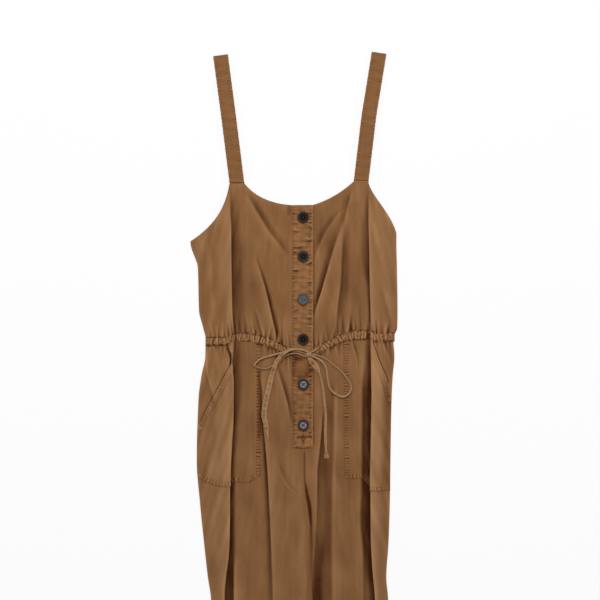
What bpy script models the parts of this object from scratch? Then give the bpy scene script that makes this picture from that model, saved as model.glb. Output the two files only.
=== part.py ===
"""Utility jumpsuit with shoulder straps, laid flat and face up.

Metres, +Z up. The garment lies on the plane z = 0 with its straps towards +Y. Right and left are the
wearer's own, so its right side lies at -X. The origin is on that plane, under the waist at the middle.
Tables are in millimetres, with a row for each section and the columns named above them.
"""
import math

import bmesh
import bpy
from mathutils import Vector

MM = 0.001

# Cloth
CLOTH = 1.5 * MM             # wall of every cloth piece
SEAM = 0.3 * MM              # clear space between pieces that meet
FRONT_LIFT = CLOTH + SEAM    # underside of the front where it is sewn to the back
LOFT = 5 * MM                # underside of the front where it lies loose
EDGE_RUN = 22 * MM           # width over which the front rises from its sewn edges
CALM_HALF = 19 * MM          # half of the flat strip along the middle of the front
CALM_RUN = 16 * MM           # width over which the folds start beside that strip

# Garment
HEM_Y = -962 * MM
CROTCH_Y = -262 * MM
FLY_END_Y = -187 * MM
BACK_TOP_Y = 194 * MM
STRAP_WIDTH = 25 * MM
STRAP_LOOP = 2.5 * MM        # radius of the strap's turn at the shoulder, at mid cloth
STRAP_BACK_END_Y = BACK_TOP_Y + SEAM
CASING_HEIGHT = 14.5 * MM
CASING_PUFF = 1.2 * MM
CASING_CLEAR = 3 * SEAM      # clear space under the casing's edges
CASING_ENDS = {"right": -28 * MM, "left": 23 * MM}
WAIST_GAP = 1 * MM           # clear space along the curved seam under the casing
PLACKET_HALF = 17.9 * MM
PLACKET_WALL = 2 * MM
PLACKET_TOP_Y = 235.6 * MM
FLY_SPACE_TOP_Y = 60 * MM    # above the trousers' highest point beside the placket

# Faces along the pieces
BODICE_ROWS = 10
TROUSER_ROWS = 26
CASING_ROWS = 4
BACK_STEPS = 20
BACK_BODICE_STEPS = 6
POCKET_TOP_STEPS = 6
STRAP_STEPS = {"front": 8, "turn": 6, "back": 6}
BUTTON_STEPS = 20
BUTTON_HOLE_STEPS = 8

# Buttons and tie
BUTTON_RADIUS = 9.5 * MM
BUTTON_HEIGHT = 3 * MM
BUTTON_RIM = 1.6 * MM
BUTTON_HOLE_RADIUS = 1.1 * MM
BUTTON_HOLE_SPACING = 4.4 * MM
BUTTON_X = 0.5 * MM
BUTTON_YS = (214.5, 146, 71, 1, -77.5, -149)
TIE_RADIUS = 1.8 * MM
TIE_SPACING = 8 * MM         # length of each straight stretch of a tie
KNOT_CENTRE = (10.5, -24.5)
KNOT_RADII = (6 * MM, 4.5 * MM, 3.6 * MM)

# y, x of the right side edge, x of the left side edge
SIDE_EDGES = (
    (172, -197, 163.5),
    (125, -184, 164.5),
    (52, -182, 165.5),
    (22, -175, 165),
    (2, -170.5, 158),
    (-28, -171, 160),
    (-64, -178, 157),
    (-104, -183, 155),
    (-212, -186, 153),
    (-284, -180.5, 152),
    (-358, -173, 149.5),
    (-416, -166.5, 145.8),
    (-455, -161, 149),
    (-700, -155, 154),
    (-962, -152, 158),
)

# y, x of the right front's edge at the middle, x of the left front's
MIDDLE_EDGES = (
    (250, 0, 0),
    (-28, 0, 0),
    (-190, 2, 2),
    (-262, 3, 3),
    (-290, 6.5, 7.5),
    (-359, 16.5, 17.5),
    (-400, 15.5, 16.5),
    (-455, 17.5, 18.5),
    (-600, 14.5, 18.5),
    (-962, -2, 18),
)

# x, y of the waist seam
WAIST = (
    (-172, -2),
    (-121.5, 5.3),
    (-101.5, 3.5),
    (-75.3, 0),
    (-46.7, -12.3),
    (-31.5, -21.5),
    (-16, -27),
    (16, -20),
    (28, -14.5),
    (53.2, -4.4),
    (74.4, 5.8),
    (99.8, 8.1),
    (119, 9.3),
    (160, 5.4),
)

# Control points of the bodice's upper edges, from the side edge to the strap and on to the placket
RIGHT_ARMHOLE = ((-197, 173), (-139.4, 207.8), (-128.3, 274.6))
RIGHT_NECKLINE = ((-103.3, 274.6), (-75.2, 238.8), (-17, 235.6))
LEFT_NECKLINE = ((17, 236), (54.2, 252.3), (90.1, 278.6))
LEFT_ARMHOLE = ((113.8, 278.6), (118, 255), (161, 222), (166, 178))

# y, x of the crest, lift of the crest, width of its slope towards -X, width towards +X
RIGHT_SIDE_FOLD = (
    (270, -127.5, 0.3, 30, 9),
    (200, -126.5, 5, 44, 10),
    (110, -125, 9, 48, 11),
    (30, -122.5, 5, 42, 9),
    (0, -121, 3, 40, 9),
    (-30, -120.5, 5, 40, 9),
    (-100, -121.5, 9, 50, 11),
    (-280, -127.5, 9, 45, 11),
    (-380, -130, 7, 36, 11),
    (-455, -138, 4, 22, 12),
    (-620, -140, 0, 20, 12),
)
LEFT_SIDE_FOLD = (
    (270, 113.8, 0.3, 9, 30),
    (157, 115.5, 8, 10, 42),
    (60, 117.5, 9, 10, 42),
    (12, 119, 4, 9, 36),
    (-21, 120.4, 6, 9, 34),
    (-96, 120.4, 14, 14, 30),
    (-268, 117.3, 15, 16, 30),
    (-334, 117.8, 14, 16, 30),
    (-455, 125.5, 11, 15, 22),
    (-700, 128, 0, 14, 22),
)
SOFT_FOLDS = (
    # right bodice, from the armhole down to the waist
    (
        (170, -88, 0, 24, 10),
        (98, -69, 5, 26, 12),
        (50, -59, 5, 24, 12),
        (8, -48, 2, 20, 10),
    ),
    # left bodice, below the strap
    (
        (262, 83, 0, 22, 18),
        (205, 68.3, 4, 24, 20),
        (108, 66, 5, 24, 20),
        (10, 62, 2, 20, 18),
    ),
    # left bodice, spreading from the placket
    (
        (200, 62, 0, 12, 16),
        (110, 46, 4, 14, 18),
        (60, 36, 3, 10, 16),
        (20, 30, 0, 10, 12),
    ),
    # right leg, beside the pocket
    (
        (-60, -74, 0, 10, 24),
        (-175, -61, 5, 11, 30),
        (-283, -55, 5, 12, 30),
        (-404, -51, 4, 12, 28),
        (-560, -50, 0, 12, 24),
    ),
    # left leg, middle of the panel
    (
        (-20, 66, 1, 22, 24),
        (-110, 70, 5, 26, 26),
        (-300, 72, 6, 26, 24),
        (-455, 76, 5, 26, 24),
        (-760, 84, 1, 26, 24),
    ),
)

# Columns of the front's panels that run from the strap's inner corner, y, x
RIGHT_CORNER_LINE = ((274, -103.3), (100, -96), (-30, -92))
LEFT_CORNER_LINE = ((278, 90.1), (100, 90), (-30, 92))
RIGHT_POCKET_LINE = ((0, -77.9), (-250, -77.9), (-455, -80))
LEFT_POCKET_LINE = ((0, 73.9), (-100, 73.9), (-172, 75.8), (-243, 81.4), (-455, 84))

# Corners of the patch pockets: down the slanted opening, out past the side edge, along the bottom and
# up the inner edge. Their tops follow the casing.
RIGHT_POCKET = (
    (-118.9, -30), (-152.3, -96), (-178.5, -143.5), (-182, -152.3), (-215, -152.3), (-215, -241.5),
    (-182, -241.5), (-170, -249.2), (-148.8, -255.5), (-131.3, -255.5), (-119, -247.6), (-94.5, -249.2),
    (-77.9, -245),
)
LEFT_POCKET = (
    (126.9, -21), (140, -56), (150.5, -87.5), (154.9, -99.8), (190, -99.8), (190, -263.4),
    (123.2, -263.4), (104.1, -241.5), (81.4, -242.6), (75.8, -172.4), (73.9, -96.3),
)

# Outline of the back above the waist, between the side edges
BACK_TOP = ((-196.5, 172), (-168, 189), (-145, 194), (146, 194), (158, 197), (164, 195))

# Between these two heights the back bodice follows the side edges
BACK_BODICE_SIDES = (20, 160)

# x of the back bodice's corners at the waist, left then right
BACK_BODICE_CORNERS = (163, -171)

# Corners of the back casing: x, and -1 at its lower edge or 1 at its upper
BACK_CASING_CORNERS = ((-169.5, -1), (158, -1), (161, 1), (-170, 1))

# Heights at which the trouser backs start: their corners at the waist, side edges and inner edges
TROUSER_BACK_STARTS = {"waist": -12, "side": -30, "inner": -40}

# Centre line of each strap from the bodice to the shoulder
RIGHT_STRAP = ((-115.8, 274.6), (-129.8, 387), (-144.6, 499.6))
LEFT_STRAP = ((101.95, 278.6), (115.6, 392.5), (133.5, 503.9))

# Routes of the tie, x, y and how far it is raised over what it crosses
RIGHT_STUB = ((-27, -15.5, 0), (-14, -13.5, 0), (-2, -15.5, 0), (5.5, -18.3, 0))
RIGHT_LOOP = (
    (2.6, -23.2, 0), (-8, -20, 0), (-22, -18.8, 0), (-34.3, -21.5, 0), (-48, -25, 0), (-70.2, -31, 0),
    (-81.2, -38.5, 0), (-84.5, -45.5, 0), (-73.5, -49.7, 0), (-62.5, -50, 0), (-50, -43.4, 0),
    (-39, -35.7, 0), (-32, -29.7, 0), (-20.3, -26, 0), (-7.7, -27, 0), (3.2, -28.9, 0),
)
RIGHT_TAIL = (
    (5.6, -21.4, 3.2), (-2, -19.2, 4.2), (-12, -17.8, 4.4), (-23, -18, 4.4), (-36, -25, 4.4),
    (-44, -34, 4.4), (-49, -45, 4), (-54.6, -62.2, 0.5), (-60.9, -88.8, 0), (-66, -112.2, 0),
    (-67.9, -132.5, 0), (-64, -151.3, 0), (-60.6, -174.4, 0),
)
LEFT_STUB = ((22.5, -14.5, 0), (20, -17, 0), (16.3, -20, 0))
LEFT_LOOP = (
    (18.9, -25, 0), (27, -28, 0), (39.2, -32.5, 0), (54.8, -45, 0), (70.4, -59, 0), (81.3, -74.7, 0),
    (84.4, -84, 0), (79.8, -94.2, 0), (68.8, -98.9, 0), (54.8, -92.7, 0), (46.2, -82.4, 0),
    (43, -66.9, 0), (40.7, -49.7, 0), (32.9, -37.2, 0), (24, -31.5, 0), (17.6, -29.2, 0),
)
LEFT_TAIL = (
    (12.5, -31.5, 0), (17.3, -40, 0), (28.2, -54, 0), (33.6, -76.3, 0), (37.6, -107.5, 0),
    (39.9, -132.5, 0), (39.2, -157.5, 0), (39.9, -185.5, 0), (41.5, -207.5, 0),
)

# Looks: colour and roughness
CLOTH_LOOK = ((0.24, 0.13, 0.07), 0.85)
TIE_LOOK = ((0.30, 0.17, 0.09), 0.85)
BUTTON_LOOK = ((0.03, 0.03, 0.035), 0.35)


def clear_scene():
    for thing in list(bpy.data.objects):
        bpy.data.objects.remove(thing)


def new_collection(name):
    collection = bpy.data.collections.new(name)
    bpy.context.scene.collection.children.link(collection)
    return collection


def add_material(thing, look):
    colour, roughness = look
    material = bpy.data.materials.new(thing.name)
    material.use_nodes = True
    shader = material.node_tree.nodes["Principled BSDF"]
    shader.inputs["Base Color"].default_value = (*colour, 1)
    shader.inputs["Roughness"].default_value = roughness
    shader.inputs["Metallic"].default_value = 0
    thing.data.materials.clear()
    thing.data.materials.append(material)


def smooth(share):
    """Ease from 0 to 1."""
    share = min(max(share, 0), 1)
    return share * share * (3 - 2 * share)


def spread(start, end, count):
    """Evenly spaced values from start to end."""
    return [start + (end - start) * step / count for step in range(count + 1)]


def tangent(places, values, index):
    """Slope of a smooth line at a table's row, flat where the values turn back."""
    if index == 0 or index == len(places) - 1:
        return 0
    before = (values[index] - values[index - 1]) / (places[index] - places[index - 1])
    after = (values[index + 1] - values[index]) / (places[index + 1] - places[index])
    if before * after <= 0:
        return 0
    return 2 * before * after / (before + after)


def along(rows, place, column=1):
    """A table column's value at a place given in metres, on a smooth line through the rows."""
    rows = sorted(rows)
    places = [row[0] * MM for row in rows]
    values = [row[column] * MM for row in rows]
    if place <= places[0]:
        return values[0]
    if place >= places[-1]:
        return values[-1]
    index = max(i for i, row_place in enumerate(places) if row_place <= place)
    span = places[index + 1] - places[index]
    share = (place - places[index]) / span
    start_slope = tangent(places, values, index) * span
    end_slope = tangent(places, values, index + 1) * span
    eased = smooth(share)
    bend = share * (1 - share)
    return (
        values[index] * (1 - eased)
        + values[index + 1] * eased
        + bend * ((1 - share) * start_slope - share * end_slope)
    )


def curve_points(controls, count=14):
    """Points along the Bezier curve with the given control points, in metres."""
    points = []
    for step in range(count + 1):
        share = step / count
        line = [Vector(control) * MM for control in controls]
        while len(line) > 1:
            line = [first.lerp(second, share) for first, second in zip(line, line[1:])]
        points.append(line[0])
    return points


def height_on(points, x):
    """y of a line of points, sorted by x, at the given x."""
    if x <= points[0][0]:
        return points[0][1]
    for first, second in zip(points, points[1:]):
        if x <= second[0]:
            share = (x - first[0]) / (second[0] - first[0])
            return first[1] + share * (second[1] - first[1])
    return points[-1][1]


RIGHT_TOP = curve_points(RIGHT_ARMHOLE) + curve_points(RIGHT_NECKLINE)
LEFT_TOP = curve_points(LEFT_NECKLINE) + curve_points(LEFT_ARMHOLE)


def side_edge(y, side):
    return along(SIDE_EDGES, y, 1 if side == "right" else 2)


def middle_edge(y, side):
    return along(MIDDLE_EDGES, y, 1 if side == "right" else 2)


def fold_lift(rows, x, y):
    """Lift of one fold at a point: highest at its crest, easing to nothing down both slopes."""
    rows_y = [row[0] * MM for row in rows]
    if y > max(rows_y) or y < min(rows_y):
        return 0
    away = x - along(rows, y, 1)
    run = along(rows, y, 3) if away < 0 else along(rows, y, 4)
    return along(rows, y, 2) * (1 - smooth(abs(away) / run))


def front_height(x, y):
    """Underside of the front at a point."""
    side = "right" if x < middle_edge(y, "right") else "left"
    from_side = abs(x - side_edge(y, side))
    from_middle = abs(x - middle_edge(y, side))
    legs = smooth((CROTCH_Y - y) / (60 * MM))
    rise = smooth(from_side / EDGE_RUN) * (1 - legs * (1 - smooth(from_middle / EDGE_RUN)))
    lift = sum(fold_lift(rows, x, y) for rows in (RIGHT_SIDE_FOLD, LEFT_SIDE_FOLD, *SOFT_FOLDS))
    calm = smooth((from_middle - CALM_HALF) / CALM_RUN)
    return FRONT_LIFT + (LOFT - FRONT_LIFT + lift * calm) * rise


def cloth_top(x, y):
    """Top of the cloth at a point: the front, or the placket, casing or pocket that lies over it."""
    top = front_height(x, y) + CLOTH
    if abs(x) < PLACKET_HALF + SEAM:
        return LOFT + CLOTH + SEAM + PLACKET_WALL
    if abs(y - along(WAIST, x)) < CASING_HEIGHT / 2 and not CASING_ENDS["right"] < x < CASING_ENDS["left"]:
        return top + CASING_CLEAR + CASING_PUFF + CLOTH
    if x < RIGHT_POCKET[-1][0] * MM or x > LEFT_POCKET[-1][0] * MM:
        return top + SEAM + CLOTH
    return top


def tie_height(x, y):
    """Underside of a tie that lies on the cloth around a point."""
    reach = TIE_RADIUS + TIE_SPACING / 2
    spots = [(x + i * reach, y + j * reach) for i in (-1, 0, 1) for j in (-1, 0, 1)]
    return max(cloth_top(*spot) for spot in spots) + SEAM


def columns_between(guides, counts):
    """Columns of a panel, each a pair of guides and the share of the way from one to the next."""
    columns = [(guides[0], guides[0], 0)]
    for first, second, count in zip(guides, guides[1:], counts):
        columns += [(first, second, (step + 1) / count) for step in range(count)]
    return columns


def column_x(column, y):
    first, second, share = column
    return first(y) * (1 - share) + second(y) * share


def column_end(column, edge, start_y):
    """y where a column meets an edge given as y at x."""
    y = start_y
    for _ in range(12):
        y = (y + edge(column_x(column, y))) / 2
    return y


def add_panel(name, columns, rows, place, wall=CLOTH, outward=1.0):
    """A sheet made from a grid whose points are put in place by (column index, share up)."""
    shape = bmesh.new()
    bmesh.ops.create_grid(shape, x_segments=columns, y_segments=rows, size=0.5)
    for vertex in shape.verts:
        across = round((vertex.co.x + 0.5) * columns)
        up = round((vertex.co.y + 0.5) * rows) / rows
        vertex.co = place(across, up)
    bmesh.ops.triangulate(shape, faces=shape.faces, quad_method="FIXED")
    mesh = bpy.data.meshes.new(name)
    shape.to_mesh(mesh)
    shape.free()
    panel = bpy.data.objects.new(name, mesh)
    pieces.objects.link(panel)
    thicken = panel.modifiers.new("wall", "SOLIDIFY")
    thicken.thickness = wall
    thicken.offset = outward
    thicken.use_even_offset = True
    add_material(panel, CLOTH_LOOK)
    return panel


def moved_out(panel, name, distance):
    """A copy of a panel with its points moved out from the cloth by a distance."""
    shape = bmesh.new()
    shape.from_mesh(panel.data)
    shape.normal_update()
    moves = [vertex.normal * distance * vertex.calc_shell_factor() for vertex in shape.verts]
    for vertex, move in zip(shape.verts, moves):
        vertex.co += move
    mesh = bpy.data.meshes.new(name)
    shape.to_mesh(mesh)
    shape.free()
    copy = bpy.data.objects.new(name, mesh)
    pieces.objects.link(copy)
    thicken = copy.modifiers.new("wall", "SOLIDIFY")
    thicken.thickness = CLOTH
    thicken.offset = 1
    thicken.use_even_offset = True
    add_material(copy, CLOTH_LOOK)
    return copy


def add_prism(name, outline, bottom=-10 * MM, top=80 * MM):
    """A cutter with the given outline, in metres, between two heights."""
    shape = bmesh.new()
    face = shape.faces.new([shape.verts.new((x, y, bottom)) for x, y in outline])
    face.normal_update()
    if face.normal.z > 0:
        face.normal_flip()
    raised = bmesh.ops.extrude_face_region(shape, geom=[face])["geom"]
    tops = [part for part in raised if isinstance(part, bmesh.types.BMVert)]
    bmesh.ops.translate(shape, verts=tops, vec=(0, 0, top - bottom))
    bmesh.ops.recalc_face_normals(shape, faces=shape.faces)
    mesh = bpy.data.meshes.new(name)
    shape.to_mesh(mesh)
    shape.free()
    prism = bpy.data.objects.new(name, mesh)
    prism.hide_render = True
    prism.display_type = "WIRE"
    cutters.objects.link(prism)
    return prism


def cut(thing, cutter, operation):
    trim = thing.modifiers.new(operation.lower(), "BOOLEAN")
    trim.object = cutter
    trim.operation = operation
    trim.solver = "EXACT"


def add_flat_piece(name, outline):
    """A back piece lying on the plane z = 0, from its outline in metres."""
    curve = bpy.data.curves.new(name, "CURVE")
    curve.dimensions = "2D"
    curve.fill_mode = "BOTH"
    curve.extrude = CLOTH / 2
    line = curve.splines.new("POLY")
    line.points.add(len(outline) - 1)
    for point, (x, y) in zip(line.points, outline):
        point.co = (x, y, 0, 1)
    line.use_cyclic_u = True
    piece = bpy.data.objects.new(name, curve)
    piece.location.z = CLOTH / 2
    pieces.objects.link(piece)
    add_material(piece, CLOTH_LOOK)


# The front


def bodice_columns(side):
    if side == "right":
        guides = (
            lambda y: side_edge(y, side),
            lambda y: along(RIGHT_SIDE_FOLD, y, 1),
            lambda y: along(RIGHT_SIDE_FOLD, y, 1) + along(RIGHT_SIDE_FOLD, y, 4),
            lambda y: along(RIGHT_CORNER_LINE, y),
            lambda y: -PLACKET_HALF - SEAM,
        )
        return columns_between(guides, (6, 2, 2, 8))
    guides = (
        lambda y: PLACKET_HALF + SEAM,
        lambda y: along(LEFT_CORNER_LINE, y),
        lambda y: along(LEFT_SIDE_FOLD, y, 1) - along(LEFT_SIDE_FOLD, y, 3),
        lambda y: along(LEFT_SIDE_FOLD, y, 1),
        lambda y: side_edge(y, side),
    )
    return columns_between(guides, (7, 2, 2, 5))


def add_bodice(side):
    columns = bodice_columns(side)
    top_line = RIGHT_TOP if side == "right" else LEFT_TOP
    ends = []
    for column in columns:
        low = column_end(column, lambda x: along(WAIST, x) + WAIST_GAP / 2, 0)
        high = column_end(column, lambda x: height_on(top_line, x), BACK_TOP_Y)
        ends.append((low, high))

    def place(across, up):
        low, high = ends[across]
        y = low + (high - low) * up
        x = column_x(columns[across], y)
        return (x, y, front_height(x, y))

    add_panel(f"front_bodice_{side}", len(columns) - 1, BODICE_ROWS, place)


def trouser_columns(side):
    gap = SEAM / 2
    if side == "right":
        guides = (
            lambda y: side_edge(y, side),
            lambda y: along(RIGHT_SIDE_FOLD, y, 1),
            lambda y: along(RIGHT_SIDE_FOLD, y, 1) + along(RIGHT_SIDE_FOLD, y, 4),
            lambda y: along(RIGHT_POCKET_LINE, y),
            lambda y: middle_edge(y, side) - gap,
        )
        return columns_between(guides, (5, 2, 3, 7))
    guides = (
        lambda y: middle_edge(y, side) + gap,
        lambda y: along(LEFT_POCKET_LINE, y),
        lambda y: along(LEFT_SIDE_FOLD, y, 1) - along(LEFT_SIDE_FOLD, y, 3),
        lambda y: along(LEFT_SIDE_FOLD, y, 1),
        lambda y: side_edge(y, side),
    )
    return columns_between(guides, (6, 3, 2, 4))


def add_trouser_front(side, fly_space):
    columns = trouser_columns(side)
    ends = [column_end(column, lambda x: along(WAIST, x) - WAIST_GAP / 2, 0) for column in columns]

    def place(across, up):
        y = HEM_Y + (ends[across] - HEM_Y) * up
        x = column_x(columns[across], y)
        return (x, y, front_height(x, y))

    front = add_panel(f"trouser_front_{side}", len(columns) - 1, TROUSER_ROWS, place)
    corners = RIGHT_POCKET if side == "right" else LEFT_POCKET
    pocket = moved_out(front, f"pocket_{side}", CLOTH + SEAM)
    outline = [(x * MM, y * MM) for x, y in corners]
    for x in spread(outline[-1][0], outline[0][0], POCKET_TOP_STEPS):
        outline.append((x, along(WAIST, x) - CASING_HEIGHT / 2 - 2 * SEAM))
    cut(pocket, add_prism(f"pocket_shape_{side}", outline), "INTERSECT")
    cut(front, fly_space, "DIFFERENCE")


def add_casing(side):
    """The channel over the waist seam that the tie runs in, open at its inner end."""
    spots = []
    for column in bodice_columns(side):
        y = column_end(column, lambda x: along(WAIST, x), 0)
        spots.append(column_x(column, y))
    if side == "right":
        spots = [x for x in spots if x < CASING_ENDS[side] - 4 * MM] + [CASING_ENDS[side]]
    else:
        spots = [CASING_ENDS[side]] + [x for x in spots if x > CASING_ENDS[side] + 4 * MM]

    def place(across, up):
        x = spots[across]
        y = along(WAIST, x) + (up - 0.5) * CASING_HEIGHT
        puff = CASING_PUFF * (1 - abs(2 * up - 1))
        return (x, y, front_height(x, y) + CLOTH + CASING_CLEAR + puff)

    add_panel(f"front_casing_{side}", len(spots) - 1, CASING_ROWS, place)


def fly_cutter():
    """The space that the trouser fronts leave for the plackets."""
    half = PLACKET_HALF + SEAM
    bottom = FLY_END_Y - SEAM
    outline = ((-half, bottom), (half, bottom), (half, FLY_SPACE_TOP_Y), (-half, FLY_SPACE_TOP_Y))
    return add_prism("fly_space", outline)


def add_plackets():
    """The button side lies over the buttonhole side, and both are flat along the middle."""
    bottom = FLY_END_Y + SEAM
    layers = (
        ("under_placket", -PLACKET_HALF + 2 * SEAM, PLACKET_HALF - SEAM, LOFT, CLOTH),
        ("button_placket", -PLACKET_HALF, PLACKET_HALF - SEAM, LOFT + CLOTH + SEAM, PLACKET_WALL),
    )
    for name, low_x, high_x, underside, wall in layers:
        bpy.ops.mesh.primitive_cube_add(size=1)
        strip = bpy.context.object
        strip.name = name
        strip.scale = (high_x - low_x, PLACKET_TOP_Y - bottom, wall)
        strip.location = ((low_x + high_x) / 2, (PLACKET_TOP_Y + bottom) / 2, underside + wall / 2)
        bpy.ops.object.transform_apply(location=False, rotation=False, scale=True)
        bpy.context.collection.objects.unlink(strip)
        pieces.objects.link(strip)
        add_material(strip, CLOTH_LOOK)


# The back


def back_waist(x, part):
    """y of the back's waist, which runs straight across: part is -1 below the casing, 1 above it."""
    right_x, right_y = WAIST[0]
    left_x, left_y = WAIST[-1]
    share = (x / MM - right_x) / (left_x - right_x)
    return (right_y + (left_y - right_y) * share) * MM + part * CASING_HEIGHT / 2


def add_back_bodice():
    low, high = (y * MM for y in BACK_BODICE_SIDES)
    top = [(x * MM, y * MM) for x, y in BACK_TOP]
    left_side = [(side_edge(y, "left"), y) for y in spread(high, low, BACK_BODICE_STEPS)]
    right_side = [(side_edge(y, "right"), y) for y in spread(low, high, BACK_BODICE_STEPS)]
    corners = []
    for corner_x in BACK_BODICE_CORNERS:
        corners.append((corner_x * MM, back_waist(corner_x * MM, 1) + SEAM))
    add_flat_piece("back_bodice", top + left_side + corners + right_side)


def add_back_casing():
    outline = []
    for x, part in BACK_CASING_CORNERS:
        outline.append((x * MM, back_waist(x * MM, part)))
    add_flat_piece("back_casing", outline)


def add_trouser_back(side):
    gap = SEAM / 2 if side == "left" else -SEAM / 2
    starts = {place: y * MM for place, y in TROUSER_BACK_STARTS.items()}
    outline = []
    for x in (middle_edge(starts["waist"], side) + gap, side_edge(starts["waist"], side)):
        outline.append((x, back_waist(x, -1) - SEAM))
    outline += [(side_edge(y, side), y) for y in spread(starts["side"], HEM_Y, BACK_STEPS)]
    outline += [(middle_edge(y, side) + gap, y) for y in spread(HEM_Y, starts["inner"], BACK_STEPS)]
    add_flat_piece(f"trouser_back_{side}", outline)


# Straps


def strap_frame(points, travel):
    """Centre of a strap and half its width as a vector, at a distance up from the front seam."""
    bottom, middle, top = (Vector(point) * MM for point in points)
    length = (middle - bottom).length + (top - middle).length
    share = travel / length
    first = bottom.lerp(middle, 2 * share)
    second = middle.lerp(top, 2 * share - 1)
    centre = first.lerp(second, smooth(share * 3 - 1))
    run = (top - middle).normalized()
    square = Vector((run.y, -run.x)) * STRAP_WIDTH / 2
    level = Vector((STRAP_WIDTH / 2, 0))
    return centre, level.lerp(square, min(max(share, 0), 1)), length


def add_strap(side):
    """One strip: up from the bodice, over at the shoulder and down underneath to the back."""
    points = RIGHT_STRAP if side == "right" else LEFT_STRAP
    length = strap_frame(points, 0)[2]
    straight = length - STRAP_LOOP - CLOTH / 2
    base = CLOTH / 2
    front_z = LOFT + CLOTH / 2
    top_z = base + 2 * STRAP_LOOP
    stations = []
    for share in spread(0, 1, STRAP_STEPS["front"]):
        stations.append((SEAM + (straight - SEAM) * share, front_z + (top_z - front_z) * smooth(share)))
    for turn in spread(0, math.pi, STRAP_STEPS["turn"])[1:-1]:
        stations.append((straight + STRAP_LOOP * math.sin(turn), base + STRAP_LOOP * (1 + math.cos(turn))))
    reach = (Vector(points[0]).y * MM - STRAP_BACK_END_Y)
    for share in spread(0, 1, STRAP_STEPS["back"]):
        stations.append((straight - (straight + reach) * share, base))

    def place(across, up):
        travel, z = stations[round(up * (len(stations) - 1))]
        centre, half, _ = strap_frame(points, travel)
        if travel < 0:
            climb = (Vector(points[1]) - Vector(points[0])).normalized()
            centre = Vector(points[0]) * MM + climb * (travel / climb.y)
        spot = centre + half * (2 * across - 1)
        return (spot.x, spot.y, z)

    add_panel(f"strap_{side}", 1, len(stations) - 1, place, outward=0)


# Buttons


def button_shape():
    """A turned disc with a rim and a dished face, and four holes."""
    radius = BUTTON_RADIUS
    height = BUTTON_HEIGHT
    profile = (
        (0, 0.62 * height), (radius - 2.2 * BUTTON_RIM, 0.62 * height),
        (radius - 1.4 * BUTTON_RIM, 0.95 * height), (radius - 0.7 * BUTTON_RIM, height),
        (radius, 0.6 * height), (radius - 0.5 * BUTTON_RIM, 0), (0, 0),
    )
    shape = bmesh.new()
    line = [shape.verts.new((x, 0, z)) for x, z in profile]
    for first, second in zip(line, line[1:]):
        shape.edges.new((first, second))
    mesh = bpy.data.meshes.new("button profile")
    shape.to_mesh(mesh)
    shape.free()
    turned = bpy.data.objects.new("button profile", mesh)
    cutters.objects.link(turned)
    turn = turned.modifiers.new("turn", "SCREW")
    turn.steps = BUTTON_STEPS
    turn.render_steps = BUTTON_STEPS
    turn.use_merge_vertices = True
    turn.merge_threshold = 0.00001
    drills = []
    for x, y in ((-1, -1), (-1, 1), (1, -1), (1, 1)):
        centre = (x * BUTTON_HOLE_SPACING / 2, y * BUTTON_HOLE_SPACING / 2)
        ring = []
        for step in range(BUTTON_HOLE_STEPS):
            angle = step * math.tau / BUTTON_HOLE_STEPS
            ring.append((
                centre[0] + BUTTON_HOLE_RADIUS * math.cos(angle),
                centre[1] + BUTTON_HOLE_RADIUS * math.sin(angle),
            ))
        drill = add_prism("button drill", ring, -2 * height, 2 * height)
        drills.append(drill)
        cut(turned, drill, "DIFFERENCE")
    bpy.context.view_layer.update()
    drawn = turned.evaluated_get(bpy.context.evaluated_depsgraph_get())
    solid = bpy.data.meshes.new_from_object(drawn)
    for thing in (turned, *drills):
        bpy.data.objects.remove(thing)
    return solid


def add_buttons():
    solid = button_shape()
    placket_top = LOFT + CLOTH + SEAM + PLACKET_WALL
    for number, y in enumerate(BUTTON_YS, start=1):
        button = bpy.data.objects.new(f"button_{number}", solid.copy())
        button.location = (BUTTON_X, y * MM, placket_top + SEAM)
        pieces.objects.link(button)
        add_material(button, BUTTON_LOOK)


# Tie


def smooth_route(route):
    """Evenly spaced points on a smooth curve through the route's own points, resting on the cloth."""
    spots = [Vector(spot) * MM for spot in route]
    padded = [2 * spots[0] - spots[1], *spots, 2 * spots[-1] - spots[-2]]
    fine = []
    for a, b, c, d in zip(padded, padded[1:], padded[2:], padded[3:]):
        for t in spread(0, 1, 12)[:-1]:
            linear = 2 * b + (c - a) * t
            square = (2 * a - 5 * b + 4 * c - d) * t * t
            cube = (3 * b - a - 3 * c + d) * t ** 3
            fine.append((linear + square + cube) / 2)
    fine.append(spots[-1])
    length = sum((second - first).length for first, second in zip(fine, fine[1:]))
    count = max(2, round(length / TIE_SPACING))
    points = [fine[0]]
    travelled = 0
    for first, second in zip(fine, fine[1:]):
        step = (second - first).length
        while len(points) < count and travelled + step >= length * len(points) / count:
            share = (length * len(points) / count - travelled) / step
            points.append(first.lerp(second, share))
        travelled += step
    points.append(fine[-1])
    return [Vector((x, y, tie_height(x, y) + TIE_RADIUS + over)) for x, y, over in points]


def add_tie(name, route):
    curve = bpy.data.curves.new(name, "CURVE")
    curve.dimensions = "3D"
    curve.bevel_depth = TIE_RADIUS
    curve.bevel_resolution = 2
    curve.use_fill_caps = True
    line = curve.splines.new("POLY")
    points = smooth_route(route)
    line.points.add(len(points) - 1)
    for point, spot in zip(line.points, points):
        point.co = (*spot, 1)
    tie = bpy.data.objects.new(name, curve)
    pieces.objects.link(tie)
    add_material(tie, TIE_LOOK)


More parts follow.
